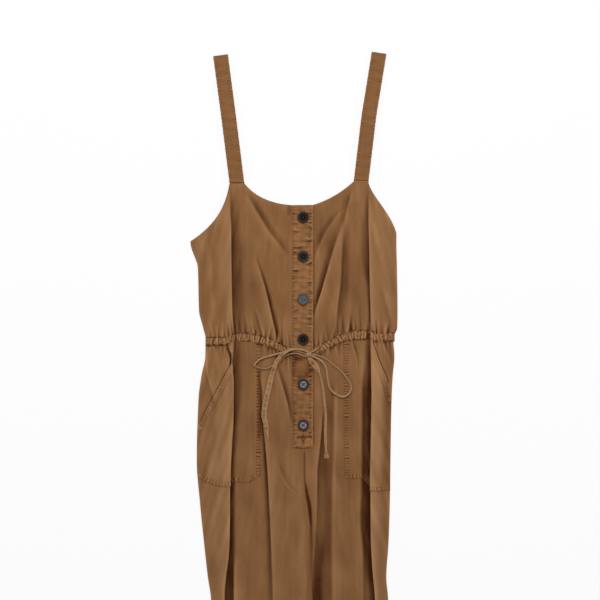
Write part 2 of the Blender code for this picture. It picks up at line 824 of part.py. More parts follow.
def add_knot():
    x, y = (value * MM for value in KNOT_CENTRE)
    bpy.ops.mesh.primitive_uv_sphere_add(segments=16, ring_count=10, radius=1)
    knot = bpy.context.object
    knot.name = "bow_knot"
    knot.scale = KNOT_RADII
    knot.location = (x, y, tie_height(x, y) + KNOT_RADII[2])
    bpy.ops.object.transform_apply(location=False, rotation=False, scale=True)
    knot.data.shade_smooth()
    bpy.context.collection.objects.unlink(knot)
    pieces.objects.link(knot)
    add_material(knot, TIE_LOOK)


clear_scene()
pieces = new_collection("utility_jumpsuit")
cutters = new_collection("cutters")

fly_space = fly_cutter()
for half in ("right", "left"):
    add_bodice(half)
    add_trouser_front(half, fly_space)
    add_casing(half)
    add_trouser_back(half)
    add_strap(half)
add_back_bodice()
add_back_casing()
add_plackets()
add_buttons()
add_tie("cord_stub_right", RIGHT_STUB)
add_tie("cord_loop_right", RIGHT_LOOP)
add_tie("cord_tail_right", RIGHT_TAIL)
add_tie("cord_stub_left", LEFT_STUB)
add_tie("cord_loop_left", LEFT_LOOP)
add_tie("cord_tail_left", LEFT_TAIL)
add_knot()
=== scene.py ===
# Looks of a utility jumpsuit that lies flat and face up, straps towards +Y.
# Right and left are the wearer's, so the right side lies at -X. Tables are in millimetres.
import math

import bmesh
import bpy
import numpy as np
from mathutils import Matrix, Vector


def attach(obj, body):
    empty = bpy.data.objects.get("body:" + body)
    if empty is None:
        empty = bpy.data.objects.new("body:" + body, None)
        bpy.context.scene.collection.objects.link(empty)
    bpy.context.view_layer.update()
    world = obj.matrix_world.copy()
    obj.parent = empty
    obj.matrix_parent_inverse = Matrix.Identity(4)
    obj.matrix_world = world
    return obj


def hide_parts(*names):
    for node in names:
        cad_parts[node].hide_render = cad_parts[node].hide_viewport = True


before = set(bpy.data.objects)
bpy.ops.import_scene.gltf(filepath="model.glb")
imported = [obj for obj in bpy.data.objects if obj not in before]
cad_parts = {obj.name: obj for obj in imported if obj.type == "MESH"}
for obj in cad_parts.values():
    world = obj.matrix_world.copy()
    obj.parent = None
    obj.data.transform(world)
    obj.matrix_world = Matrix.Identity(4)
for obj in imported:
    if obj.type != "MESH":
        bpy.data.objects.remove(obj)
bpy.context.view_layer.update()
mm = 0.001
print("frame loaded")


# Camera

view = {"centre": (-5.25 * mm, 70 * mm), "height": 2.487, "lens": 85, "sensor": 36, "far": 20}

bpy.ops.object.select_all(action="DESELECT")
bpy.ops.object.camera_add(location=(*view["centre"], view["height"]), rotation=(0, 0, 0))
camera = bpy.context.object
camera.data.lens = view["lens"]
camera.data.sensor_width = view["sensor"]
camera.data.clip_end = view["far"]
bpy.context.scene.camera = camera


# Lines and sizes that the pieces share

garment = {
    "seamedTop": 2.7 * mm,     # top of the front where it is sewn to the back
    "looseTop": 6.5 * mm,      # top of the front where it lies loose
    "edgeRun": 22 * mm,
    "hemY": -962 * mm,
    "hemDepth": 20 * mm,
    "crotchY": -262 * mm,
    "flyEndY": -187 * mm,
    "backTopY": 194 * mm,
    "casingHeight": 16 * mm,
    "cloth": 1.05 * mm,
    "placketReach": 17.6 * mm,  # from the middle to where folds begin
    "gatherReach": 19 * mm,     # from the middle to where gathers begin
}

# y, x of the right side edge, x of the left side edge
sideEdges = (
    (172, -197, 163.5), (125, -184, 164.5), (52, -182, 165.5), (22, -175, 165), (2, -170.5, 158),
    (-28, -171, 160), (-64, -178, 157), (-104, -183, 155), (-212, -186, 153), (-284, -180.5, 152),
    (-358, -173, 149.5), (-416, -166.5, 145.8), (-455, -161, 149), (-700, -155, 154), (-962, -152, 158),
)
# y, x of the right front's edge at the middle, x of the left front's
middleEdges = (
    (250, -0.2, 0.2), (-28, -0.2, 0.2), (-190, 2, 2.3), (-262, 3, 3.3), (-290, 6.5, 7.2), (-359, 16.5, 17.2),
    (-400, 15.5, 16.2), (-455, 17.5, 18.2), (-600, 14.5, 18.2), (-962, -2, 18),
)
# x, y of the waist seam
waistLine = (
    (-172, -3), (-154, -2.4), (-137, -2), (-128, 1), (-121.5, 3.9), (-98, 4.7), (-83.5, 1.8), (-70.7, -1.3),
    (-60, -4.5), (-46.6, -10.6), (-33.3, -17.5), (-16, -25), (16, -20), (28, -16.3), (35.4, -13.6), (45, -8.5),
    (55, -3.2), (63, 0.2), (75, 5.6), (88, 8.8), (100, 9), (118, 9.8), (124, 7.4), (130, 4.8), (160, 5),
)
# Bezier controls of the bodice's upper edges, from the right side edge to the left
upperEdges = (
    ((-197, 173), (-139.4, 207.8), (-128.3, 274.6)),
    ((-103.3, 274.6), (-75.2, 238.8), (-17, 235.6)),
    ((17, 236), (57.5, 248), (90.1, 278.6)),
    ((113.8, 278.6), (117, 252), (162, 217), (165.5, 176)),
)


def smooth(share):
    share = np.clip(share, 0, 1)
    return share * share * (3 - 2 * share)


def bell(away, width, power=2):
    # 1 at the middle and fading to both sides
    return np.exp(-(away / width) ** power)


def unit(vectors):
    return vectors / np.maximum(np.linalg.norm(vectors, axis=-1, keepdims=True), 1e-12)


def spread(*values):
    return np.broadcast_arrays(*(np.asarray(value, float) for value in values))


def scaled(line):
    return [np.array(point) * mm for point in line]


def summed(steps):
    # distance travelled at each point
    return np.concatenate([[0], np.cumsum(steps)])


def readOff(stations, travel, points):
    return np.stack([np.interp(stations, travel, column) for column in points.T], -1)


def along(rows, place, column=1):
    # a table column's value on a smooth line through its rows, all in metres
    rows = np.array(sorted(rows), float) * mm
    places = rows[:, 0]
    values = rows[:, column]
    steps = np.diff(places)
    slopes = np.diff(values) / steps
    tangents = np.zeros(len(places))
    before, after = slopes[:-1], slopes[1:]
    runsOn = before * after > 0
    tangents[1:-1][runsOn] = (2 * before * after)[runsOn] / (before + after)[runsOn]
    place = np.asarray(place, float)
    row = np.clip(np.searchsorted(places, place, side="right") - 1, 0, len(places) - 2)
    share = np.clip((place - places[row]) / steps[row], 0, 1)
    bend = share * (1 - share) * steps[row]
    eased = smooth(share)
    ends = values[row] * (1 - eased) + values[row + 1] * eased
    return ends + bend * ((1 - share) * tangents[row] - share * tangents[row + 1])


def curvePoints(controls, count=24):
    share = np.linspace(0, 1, count + 1)[:, None]
    line = [np.array(control, float)[None, :] * mm + 0 * share for control in controls]
    while len(line) > 1:
        line = [a * (1 - share) + b * share for a, b in zip(line, line[1:])]
    return line[0]


rightTop = np.concatenate([curvePoints(upperEdges[0]), curvePoints(upperEdges[1])])
leftTop = np.concatenate([curvePoints(upperEdges[2]), curvePoints(upperEdges[3])])


def sideEdge(y, side):
    return along(sideEdges, y, 1 if side == "right" else 2)


def middleEdge(y, side):
    return along(middleEdges, y, 1 if side == "right" else 2)


def unevenness(x, y, size, seed):
    # soft waves in several directions, about -1 to 1, size apart
    chance = np.random.default_rng(seed)
    total = 0
    for _ in range(6):
        angle, phase = chance.uniform(0, math.tau, 2)
        reach = size * chance.uniform(0.7, 1.5)
        total = total + np.sin((x * math.cos(angle) + y * math.sin(angle)) * math.tau / reach + phase)
    return total / 3.2


# Folds of the front. Each follows a line and stands proud on one side of it.
# proud is -1 where the side towards -X stands proud, and 1 where the side towards +X does.
# y, x of the line, lift, width of the proud slope, dip, width of the dip, width of the step, lean
# dark, where a fold gives it, scales the painted shade in its valley
folds = {
    "rightSide": {"proud": -1, "dark": 0.7, "rows": (
        (272, -127.8, 0, 30, 0, 10, 4, 0), (240, -127.2, 2.5, 36, 1.5, 14, 4, 0.5),
        (195, -126.2, 6, 44, 2.6, 22, 4, 2), (130, -125.2, 9, 48, 3, 28, 4, 3.5), (70, -124.2, 9, 48, 3, 28, 4, 3.5),
        (30, -123, 7, 44, 2.8, 22, 4, 2.5), (6, -121.5, 4.5, 40, 2, 14, 4, 1.5),
        (-14, -122.4, 4.5, 40, 2.4, 16, 4, 1.5), (-40, -123.8, 8, 42, 2.6, 20, 4, 3),
        (-77, -122, 10.5, 48, 2.8, 21, 4, 4.5), (-135, -122.5, 11, 48, 3.4, 16, 4, 5),
        (-182, -125.1, 11, 46, 3.7, 14, 4, 5), (-229, -127, 11, 45, 4, 14, 4, 5),
        (-334, -127.8, 10.5, 40, 4, 14, 4, 5), (-378, -130, 9, 36, 4.3, 17, 4, 4),
        (-413, -134.8, 7, 28, 4.3, 17, 4, 3), (-446, -137.9, 5, 22, 4.1, 17, 4, 2),
        (-560, -139, 3, 20, 2.6, 20, 4, 1), (-760, -140, 0, 20, 0, 20, 4, 0),
    )},
    "leftSide": {"proud": 1, "dark": 0.85, "rows": (
        (272, 113.8, 0, 30, 0, 8, 4, 0), (240, 114.3, 3, 34, 1.5, 9, 4, 0.5), (190, 115.5, 7.5, 42, 2.2, 16, 4, 2.5),
        (120, 116.5, 9.5, 44, 2.4, 15, 4, 3.5), (95, 116.9, 9.5, 43, 2.4, 9, 4, 3.5),
        (60, 117.8, 9, 42, 2.6, 7, 3.5, 3.5), (30, 118.5, 6, 38, 2.6, 6, 3, 2.5), (8, 118.8, 4, 36, 2.8, 10, 3, 1.5),
        (-21, 119.6, 6, 34, 3.2, 13, 4, 2.5), (-50, 119.9, 11, 32, 3.6, 16, 4, 4.5), (-96, 120, 15, 31, 4, 24, 4, 7),
        (-154, 119.4, 15.5, 31, 4, 25, 4, 7), (-268, 117.3, 16, 31, 4, 25, 4, 7),
        (-334, 117.8, 15, 30, 3.8, 24, 4, 6.5), (-401, 121.1, 13, 26, 3.5, 18, 4, 5.5),
        (-455, 125.5, 12, 23, 3.5, 16, 4, 5), (-560, 127, 7, 22, 3, 16, 4, 3), (-760, 129, 0, 22, 0, 14, 4, 0),
    )},
    "leftValley": {"proud": -1, "rows": (
        (-21, 108, 0, 20, 0, 6, 6, 0), (-60, 106, 2, 24, 1, 8, 6, 0), (-96, 103.5, 3, 26, 1, 8, 6, 0),
        (-260, 103.5, 3, 26, 1, 8, 6, 0), (-312, 101.5, 3, 26, 1, 8, 6, 0), (-378, 106, 2.5, 24, 1, 8, 6, 0),
        (-455, 106.5, 2.5, 24, 1, 8, 6, 0), (-700, 110, 0, 24, 0, 8, 6, 0),
    )},
    "neck": {"dark": 0.85, "proud": -1, "rows": (
        (262, -98.5, 0, 26, 0, 10, 8, 0), (240, -89.3, 2.4, 28, 2, 14, 8, 0.8), (217, -76.1, 3, 30, 2.4, 15, 8, 1),
        (188, -57.8, 3, 30, 2, 15, 9, 1), (165.7, -41.1, 2.2, 26, 1.4, 14, 9, 0.6),
        (132.7, -22.8, 0, 20, 0, 10, 9, 0),
    )},
    "rightWaist": {"dark": 0.8, "proud": -1, "rows": (
        (158, -85, 0, 18, 0, 8, 4, 0), (118, -74.4, 3, 20, 1.8, 7, 3.5, 1), (85, -65.1, 4.5, 22, 2.7, 8, 3.5, 2),
        (46, -56, 5, 22, 3.2, 10, 3.5, 2.5), (12, -48.8, 3.5, 18, 2.8, 11, 3.5, 1.5),
        (-8, -45, 1, 16, 0.5, 12, 3.5, 0.5),
    )},
    "rightSmall": {"proud": 1, "rows": (
        (58, -85, 0, 8, 0, 6, 3, 0), (40, -79.5, 1.6, 10, 1.2, 7, 3, 0.5), (12, -72, 2.2, 10, 1.6, 8, 3, 0.8),
        (0, -69, 1, 10, 0.6, 8, 3, 0.3),
    )},
    "rightOuter": {"proud": 1, "rows": (
        (50, -101.5, 0, 8, 0, 6, 3, 0), (30, -99, 1.4, 10, 1, 7, 3, 0.4), (10, -97.6, 1.8, 10, 1.4, 8, 3, 0.6),
        (0, -97, 1, 10, 0.6, 8, 3, 0.3),
    )},
    "rightUnderarm": {"proud": -1, "dark": 0.5, "rows": (
        (182, -166, 0, 16, 0, 16, 8, 0), (140, -160, 1.6, 20, 1, 20, 8, 0), (80, -158, 1.6, 20, 1, 20, 8, 0),
        (30, -150, 0.4, 18, 0, 18, 8, 0),
    )},
    "leftRidgeTop": {"proud": 1, "rows": (
        (274, 87, 0, 14, 0, 8, 4, 0), (240, 79.5, 2.5, 18, 1.5, 13, 4, 0.5), (212, 73.5, 2, 18, 1, 12, 4, 0.5),
        (180, 70.3, 0, 16, 0, 10, 4, 0),
    )},
    "leftRidge": {"proud": -1, "rows": (
        (212, 72.6, 0, 16, 0, 10, 4, 0), (163, 69.3, 2, 20, 1.5, 16, 4, 0.5), (96, 65.6, 2.5, 20, 2, 18, 4, 0.8),
        (59.5, 61, 2.5, 18, 2, 16, 4, 0.8), (12, 58.5, 1, 14, 1, 12, 4, 0.3),
    )},
    "leftPlacket": {"dark": 0.85, "proud": 1, "rows": (
        (238, 81, 0, 14, 0, 8, 4, 0), (199.5, 66.5, 1.2, 16, 1, 12, 5, 0), (166, 55.5, 3, 20, 2, 14, 5, 1),
        (119.7, 42.7, 4.2, 22, 2.5, 14, 4, 2), (81, 31.5, 4.6, 22, 3, 12, 4, 2.5), (42.4, 19.5, 4, 20, 2, 8, 4, 2),
        (20, 16, 1, 18, 0, 8, 4, 0),
    )},
    "leftUpper": {"dark": 0.8, "proud": 1, "rows": (
        (232, 70, 0, 14, 0, 8, 6, 0), (219.3, 59.2, 1.4, 16, 1, 12, 6, 0), (184.3, 36.8, 2.2, 18, 1.6, 14, 6, 0.5),
        (141.8, 18.7, 1.6, 16, 1, 10, 6, 0.5), (125, 14, 0, 14, 0, 8, 6, 0),
    )},
    "leftUnderarm": {"proud": 1, "rows": (
        (95, 140, 0, 10, 0, 6, 5, 0), (77, 144, 1.2, 12, 0.8, 8, 5, 0), (26, 156, 1.4, 12, 0.8, 8, 5, 0),
        (10, 159, 0, 12, 0, 8, 5, 0),
    )},
    "leftSmall": {"proud": -1, "rows": (
        (58, 84, 0, 8, 0, 6, 3, 0), (34, 82, 1.4, 10, 1, 7, 3, 0.3), (12, 80, 2, 10, 1.4, 8, 3, 0.6),
        (0, 79, 1, 10, 0.6, 8, 3, 0.3),
    )},
    "pocketBack": {"proud": 1, "rows": (
        (-12, -173, 0, 14, 0, 8, 3, 0), (-40, -171, 1.4, 16, 1, 9, 3, 0.4), (-58, -168, 1.6, 16, 1, 9, 3, 0.5),
        (-101.5, -158, 1.6, 14, 1, 9, 3, 0.5), (-125, -152, 0, 12, 0, 8, 3, 0),
    )},
    "rightLeg": {"dark": 0.46, "proud": 1, "rows": (
        (-48, -76, 0, 20, 0, 10, 4, 0), (-92, -71, 2.5, 24, 2.2, 7, 3, 1), (-140, -69.6, 3.6, 26, 3.2, 7, 3, 1.6),
        (-186, -65.5, 4, 26, 3.4, 8, 3, 2), (-232, -61.8, 4.4, 28, 3.5, 9, 3, 2.2),
        (-283.5, -58.6, 4.4, 28, 3.2, 11, 4, 2), (-404, -54.3, 3, 26, 2.6, 12, 4, 1), (-600, -50, 0, 24, 0, 12, 4, 0),
    )},
    "rightLegOuter": {"proud": 1, "rows": (
        (-366, -122, 0, 18, 0, 8, 4, 0), (-392, -121, 2.2, 20, 1.5, 10, 4, 1), (-455, -120, 4.5, 24, 2.8, 14, 4, 2),
        (-560, -118, 3.5, 24, 2.4, 14, 4, 1.5), (-800, -114, 0, 24, 0, 14, 4, 0),
    )},
    "bowCrease": {"proud": -1, "dark": 1.2, "rows": (
        (-40, -47, 0, 12, 0, 8, 3, 0), (-60, -41.5, 1.6, 14, 1.4, 9, 3, 0.5), (-85.8, -34.3, 2.6, 16, 2, 10, 3, 1),
        (-115.5, -26.3, 2.6, 16, 1.8, 9, 3, 1), (-138.3, -21.9, 2, 14, 1.4, 8, 3, 0.8),
        (-175, -13, 0, 12, 0, 8, 3, 0),
    )},
    "crescent": {"proud": -1, "dark": 1.6, "rows": (
        (-205, -45, 0, 10, 0, 10, 4, 0), (-232.8, -37.5, 1.5, 10, 0.6, 10, 4, 0.3),
        (-259, -22.8, 1.5, 10, 0.6, 10, 4, 0.3), (-275, -5, 0, 10, 0, 10, 4, 0),
    )},
    "legMeet": {"proud": -1, "rows": (
        (-244, 1.5, 0, 24, 0, 4, 3, 0), (-254, 3, 1.5, 24, 2.6, 5, 3, 0.4), (-272, 4.6, 3, 24, 3.6, 7, 3, 1),
        (-291, 8.2, 3.4, 26, 3.6, 7, 3, 1.2), (-327, 11.7, 4, 26, 3, 6, 3, 1.5), (-354, 12.2, 4, 26, 2.2, 5, 3, 1.5),
        (-400, 12.8, 4, 26, 1.6, 5, 3, 1.5), (-500, 15, 3, 26, 1.2, 8, 3, 1), (-720, 12, 0, 26, 0, 8, 3, 0),
    )},
    "leftLegInner": {"proud": -1, "rows": (
        (-118, 34, 0, 12, 0, 5, 3, 0), (-142, 33, 1.4, 12, 2.2, 6, 3, 0.4), (-166, 31.4, 2.2, 12, 2.6, 10, 3, 1),
        (-200, 28, 2.8, 12, 2.1, 19, 3, 1.4), (-234, 24.6, 3, 12, 2, 26, 3, 1.4), (-300, 23.8, 2, 9, 2.1, 29, 3, 1.2),
        (-354, 21.8, 1.4, 6, 2.6, 29, 4, 0.8), (-407, 17.5, 0.6, 5, 3.1, 27, 4, 0.3),
        (-455, 17, 0.4, 5, 3.5, 23, 4, 0), (-540, 18, 0, 5, 2.4, 20, 4, 0), (-700, 20, 0, 6, 0, 20, 4, 0),
    )},
    "leftLegPanel": {"proud": 1, "dark": 0.35, "rows": (
        (-66, 56, 0, 22, 0, 16, 8, 0), (-96, 54, 2.2, 26, 1.8, 20, 8, 0), (-150, 53, 3, 28, 2.4, 20, 8, 0),
        (-300, 50, 3, 28, 2, 18, 8, 0), (-455, 50, 3, 28, 2, 18, 8, 0), (-700, 52, 0, 28, 0, 18, 8, 0),
    )},
    "leftPleat": {"proud": -1, "rows": (
        (0, 86.5, 1, 8, 0.6, 6, 3, 0), (-12, 88.5, 2, 9, 1.5, 7, 3, 0.6), (-34, 94.5, 1.4, 9, 1, 7, 3, 0.4),
        (-60, 97, 0, 8, 0, 6, 3, 0),
    )},
    "leftPocketBack": {"proud": -1, "rows": (
        (-2, 143, 0, 8, 0, 6, 3, 0), (-16, 147, 1.4, 9, 1, 7, 3, 0.4), (-45, 156, 1, 9, 0.8, 7, 3, 0.3),
        (-60, 160, 0, 8, 0, 6, 3, 0),
    )},
    "rightShin": {"proud": -1, "rows": (
        (-560, -90, 0, 26, 0, 22, 10, 0), (-680, -96, 2, 30, 1.4, 26, 10, 0), (-900, -88, 2, 30, 1.4, 26, 10, 0),
        (-961, -86, 1, 28, 0.6, 22, 10, 0),
    )},
    "leftShin": {"proud": 1, "rows": (
        (-540, 96, 0, 26, 0, 22, 10, 0), (-660, 90, 2.2, 30, 1.4, 26, 10, 0), (-860, 98, 1.8, 30, 1.4, 26, 10, 0),
        (-961, 100, 1, 28, 0.6, 22, 10, 0),
    )},
}

gathers = {
    "seed": 11, "spacing": (3.6, 9), "height": (0.5, 1.7), "above": (12, 56), "below": (12, 44),
    "width": (1.3, 2.8), "drift": 0.18,
}


def gatherList(key, start):
    chance = np.random.default_rng(gathers["seed"] + start)
    low, high = gathers["spacing"]
    found = []
    x = -168
    while x < 156:
        x += chance.uniform(low, high)
        drift = chance.uniform(-1, 1) * gathers["drift"] + x * 0.0006
        found.append((x * mm, chance.uniform(*gathers["height"]) * mm, chance.uniform(*gathers[key]) * mm,
                      chance.uniform(*gathers["width"]) * mm, drift))
    return found


gathersAbove = gatherList("above", 0)
gathersBelow = gatherList("below", 5)


def gatherShape(x, y):
    # lift that the small gathers beside the casing give, and their tone: a painted highlight on each ridge and painted
    # shade beside it, stronger near the casing
    line = along(waistLine, x)
    lift = np.zeros(np.shape(x))
    tone = np.zeros(np.shape(x))
    for listed, sign in ((gathersAbove, 1), (gathersBelow, -1)):
        away = (y - line) * sign
        near = (away > -8 * mm) & (away < 70 * mm)
        if not np.any(near):
            continue
        for spot, height, length, width, drift in listed:
            across = (x - spot - drift * away) / (width * (1 + 6 * np.clip(away, 0, 1)))
            fade = near * (1 - smooth((away - 7 * mm) / length))
            root = 1 + 0.9 * np.exp(-np.clip(away - 8 * mm, 0, 1) / (7 * mm))
            ridge = bell(across, 1)
            lift += height * ridge * fade
            shade = 0.18 * ridge - 0.42 * root * bell(across * 1.4 - 2.2, 1)
            tone += height / mm * shade * fade
    return lift, tone


def foldShape(fold, x, y):
    # lift and shift along x that one fold gives, with the painted shade in its valley and the painted highlight on its
    # crest
    rows = fold["rows"]
    low, high = rows[-1][0] * mm, rows[0][0] * mm
    line, lift, run, dip, dipRun, step, lean = (along(rows, y, column) for column in range(1, 8))
    proud = fold["proud"]
    away = (x - line) * proud - np.maximum(lean - step / 2, 0)
    slope = 1 - smooth(away / run)
    share = smooth(away / step + 0.5)
    shape = lift * slope * share - dip * (1 - smooth(-away / dipRun)) * (1 - share)
    inside = (y > low) & (y < high)
    depth = inside * (dip / (3.5 * mm)) ** 1.4
    hollow = depth * (1 - smooth((-away / dipRun - 0.45) / 0.65)) * (1 - share)
    crest = depth * bell(away - 0.6 * step, 2 * mm)
    return shape * inside, -proud * lean * share * slope * inside, hollow, crest


def frontSurface(x, y, gathered=1.0):
    # top of the front's cloth: x, y and z of each point
    x, y = spread(x, y)
    side = x < middleEdge(y, "right")
    edge = np.where(side, sideEdge(y, "right"), sideEdge(y, "left"))
    middle = np.where(side, middleEdge(y, "right"), middleEdge(y, "left"))
    fromSide = np.abs(x - edge)
    fromMiddle = np.abs(x - middle)
    legs = smooth((garment["crotchY"] - y) / (60 * mm))
    rise = smooth(fromSide / garment["edgeRun"] + 0.02)
    rise = rise * (1 - legs * (1 - smooth(fromMiddle / garment["edgeRun"])))
    lift = np.zeros(x.shape)
    shift = np.zeros(x.shape)
    for fold in folds.values():
        more, sideways = foldShape(fold, x, y)[:2]
        lift += more
        shift += sideways
    lift += 0.5 * mm * unevenness(x, y * 0.5, 55 * mm, 3) + 0.16 * mm * unevenness(x, y * 0.6, 17 * mm, 4)
    beside = np.where(y > garment["flyEndY"] - 4 * mm, np.abs(x) - garment["placketReach"], fromMiddle)
    calm = smooth(beside / (9 * mm))
    lift = lift * calm
    lift += gathered * gatherShape(x, y)[0] * smooth((np.abs(x) - garment["gatherReach"]) / (5 * mm))
    height = garment["seamedTop"] + (garment["looseTop"] - garment["seamedTop"] + lift) * rise
    height = np.maximum(height, garment["seamedTop"] - 0.1 * mm)
    return np.stack([x + shift * calm * rise, y, height], axis=-1)


# Meshes from grids of points, columns towards +X and rows towards +Y

def gridNormals(points):
    across = np.gradient(points, axis=1)
    up = np.gradient(points, axis=0)
    normals = np.cross(across, up)
    length = np.linalg.norm(normals, axis=-1, keepdims=True)
    return np.where(length > 1e-14, normals / np.maximum(length, 1e-14), (0, 0, 1))


def blurred(values, reach):
    # box blur over a number of cells each way
    for axis, cells in zip((0, 1), reach):
        cells = int(max(1, min(cells, values.shape[axis] // 2 - 1)))
        for _ in range(2):
            padded = np.concatenate([
                np.repeat(np.take(values, [0], axis), cells, axis), values,
                np.repeat(np.take(values, [-1], axis), cells, axis)], axis)
            sums = np.cumsum(np.concatenate([0 * np.take(padded, [0], axis), padded], axis), axis)
            count = 2 * cells + 1
            size = values.shape[axis]
            high = np.take(sums, range(count, count + size), axis)
            low = np.take(sums, range(0, size), axis)
            values = (high - low) / count
    return values


def hollowness(points, reach=11 * mm, deep=3.2 * mm):
    # how far each point lies below the cloth around it, about -1 on ridges to 1 in valleys
    stepX = np.median(np.linalg.norm(np.diff(points, axis=1), axis=-1))
    stepY = np.median(np.linalg.norm(np.diff(points, axis=0), axis=-1))
    height = points[..., 2]
    around = blurred(height, (reach / stepY, reach / stepX))
    near = blurred(height, (0.3 * reach / stepY, 0.3 * reach / stepX))
    return np.clip(0.65 * (around - height) / deep + 0.9 * (near - height) / deep, -1, 1)


def addMesh(name, points, faces, uv=None, values=None):
    mesh = bpy.data.meshes.new(name)
    mesh.from_pydata(points.tolist(), [], faces)
    for key, numbers in (values or {}).items():
        layer = mesh.attributes.new(key, "FLOAT", "POINT")
        layer.data.foreach_set("value", np.asarray(numbers, np.float32))
    if uv is not None:
        layer = mesh.uv_layers.new(name="cloth")
        corners = np.zeros(len(mesh.loops), np.int32)
        mesh.loops.foreach_get("vertex_index", corners)
        layer.data.foreach_set("uv", uv[corners].astype(np.float32).ravel())
    mesh.polygons.foreach_set("use_smooth", np.ones(len(mesh.polygons), bool))
    mesh.update()
    thing = bpy.data.objects.new(name, mesh)
    bpy.context.scene.collection.objects.link(thing)
    return thing


def addShell(name, top, uv, tone, rub, thickness):
    # a closed thin shell with rounded edges under a grid of points
    rows, columns = top.shape[:2]
    normals = gridNormals(top)
    count = rows * columns
    index = np.arange(count).reshape(rows, columns)
    upper = np.stack([index[:-1, :-1], index[:-1, 1:], index[1:, 1:], index[1:, :-1]], -1).reshape(-1, 4)
    lower = upper[:, ::-1] + count
    rim = np.concatenate([index[0, :-1], index[:-1, -1], index[-1, :0:-1], index[:0:-1, 0]])
    bottom = top - normals * thickness
    ring = len(rim)
    flatTop = top.reshape(-1, 3)
    flatBottom = bottom.reshape(-1, 3)
    middle = (flatTop[rim] + flatBottom[rim]) / 2
    run = np.roll(flatTop[rim], -1, axis=0) - np.roll(flatTop[rim], 1, axis=0)
    outward = unit(np.cross(run, normals.reshape(-1, 3)[rim]))
    middle = middle + outward * thickness * 0.4
    points = np.concatenate([flatTop, flatBottom, middle])
    following = np.roll(np.arange(ring), -1)
    edge = 2 * count + np.arange(ring)
    nextEdge = 2 * count + following
    sides = np.concatenate([
        np.stack([rim, edge, nextEdge, rim[following]], -1),
        np.stack([edge, rim + count, rim[following] + count, nextEdge], -1)])
    faces = np.concatenate([upper, lower, sides]).tolist()
    flatUv = uv.reshape(-1, 2)
    uvs = np.concatenate([flatUv, flatUv, flatUv[rim]])

    def everywhere(values):
        values = np.broadcast_to(values, (rows, columns)).reshape(-1)
        return np.concatenate([values, values, values[rim]])

    return addMesh(name, points, faces, uvs, {"tone": everywhere(tone), "rub": everywhere(rub)})


def shares(parts):
    # grid shares from (start, end, count) stretches
    found = [parts[0][0]]
    for start, end, count in parts:
        found += list(np.linspace(start, end, count + 1)[1:])
    return np.array(found)


def guidedX(guides, counts, y):
    # x of every column at y, one array for each column, between guide lines
    lines = [guide(y) for guide in guides]
    columns = [lines[0]]
    for first, second, count in zip(lines, lines[1:], counts):
        for step in range(1, count + 1):
            columns.append(first + (second - first) * step / count)
    return np.stack(columns, axis=-1)


def panelGrid(guides, counts, low, high, rowShares):
    # x and y of a panel's points: low and high give its ends as y at x
    total = sum(counts) + 1
    ends = []
    for edge, start in ((low, 0.0), (high, 0.15)):
        y = np.full(total, start)
        for _ in range(30):
            x = np.array([guidedX(guides, counts, y[column])[column] for column in range(total)])
            y = (y + edge(x)) / 2
        ends.append(y)
    y = ends[0][None, :] + (ends[1] - ends[0])[None, :] * rowShares[:, None]
    x = np.zeros(y.shape)
    for column in range(total):
        x[:, column] = guidedX(guides, counts, y[:, column])[:, column]
    return x, y


# width, length and area of each cut, in metres, how it is held and what it lies on
cuts = {
    "front_bodice": ((0.24, 0.31), 0.053, "gathered", ("back_bodice",)),
    "trouser_front": ((0.24, 0.99), 0.185, "gathered", ("trouser_back",)),
    "pocket": ((0.13, 0.275), 0.0285, "laid", ("trouser_front",)),
    "front_casing": ((0.2, 0.018), None, "gathered", ("back_casing",)),
    "button_placket": ((0.037, 0.43), None, "laid", ("under_placket",)),
    "under_placket": ((0.029, 0.42), None, "laid", ("back_bodice", "back_casing")),
    "strap": ((0.026, 0.55), None, "folded", ("back_bodice",)),
    "back_bodice": ((0.38, 0.2), 0.067, "laid", ()),
    "trouser_back": ((0.24, 0.99), 0.175, "laid", ()),
    "back_casing": ((0.44, 0.018), None, "gathered", ()),
}


def addCloth(name, node, points, x, y, tone, rub, thickness=garment["cloth"]):
    # a sewn piece, which stands in for a node: x and y place its points on the cloth before it is folded
    thing = addShell(name, points, np.stack([x, y], -1), tone, rub, thickness)
    thing.data.materials.append(clothMaterial)
    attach(thing, "root")
    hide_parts(node)
    base, _, half = node.rpartition("_")
    flat, area, held, under = cuts[base if half in ("right", "left") else node]
    under = [f"{name}_{half}" if name.startswith("trouser") else name for name in under]


def asTie(thing, *nodes):
    facingOut(thing)
    thing.data.materials.append(tieMaterial)
    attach(thing, "root")
    if nodes:
        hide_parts(*nodes)
    return thing


# Shaders of the cloth

def startGroup(name, inputs, outputs):
    group = bpy.data.node_groups.new(name, "ShaderNodeTree")
    for label, kind, value in inputs:
        socket = group.interface.new_socket(name=label, in_out="INPUT", socket_type=kind)
        socket.default_value = value
    for label, kind in outputs:
        group.interface.new_socket(name=label, in_out="OUTPUT", socket_type=kind)
    start = group.nodes.new("NodeGroupInput")
    end = group.nodes.new("NodeGroupOutput")
    start.location = (-1200, 0)
    end.location = (900, 0)
    return group, start, end


def addNode(tree, kind, place, **settings):
    node = tree.nodes.new(kind)
    node.location = place
    for key, value in settings.items():
        setattr(node, key, value)
    return node


def setInputs(node, **values):
    for key, value in values.items():
        node.inputs[key.replace("_", " ")].default_value = value


def addMapping(tree, place, vector, scale):
    node = addNode(tree, "ShaderNodeMapping", place)
    setInputs(node, Scale=scale)
    tree.links.new(vector, node.inputs["Vector"])
    return node.outputs[0]


def addNoise(tree, place, vector, **values):
    node = addNode(tree, "ShaderNodeTexNoise", place)
    setInputs(node, **values)
    tree.links.new(vector, node.inputs["Vector"])
    return node.outputs["Fac"]


def newMaterial(name):
    material = bpy.data.materials.new(name)
    material.use_nodes = True
    tree = material.node_tree
    return material, tree, tree.nodes["Principled BSDF"]


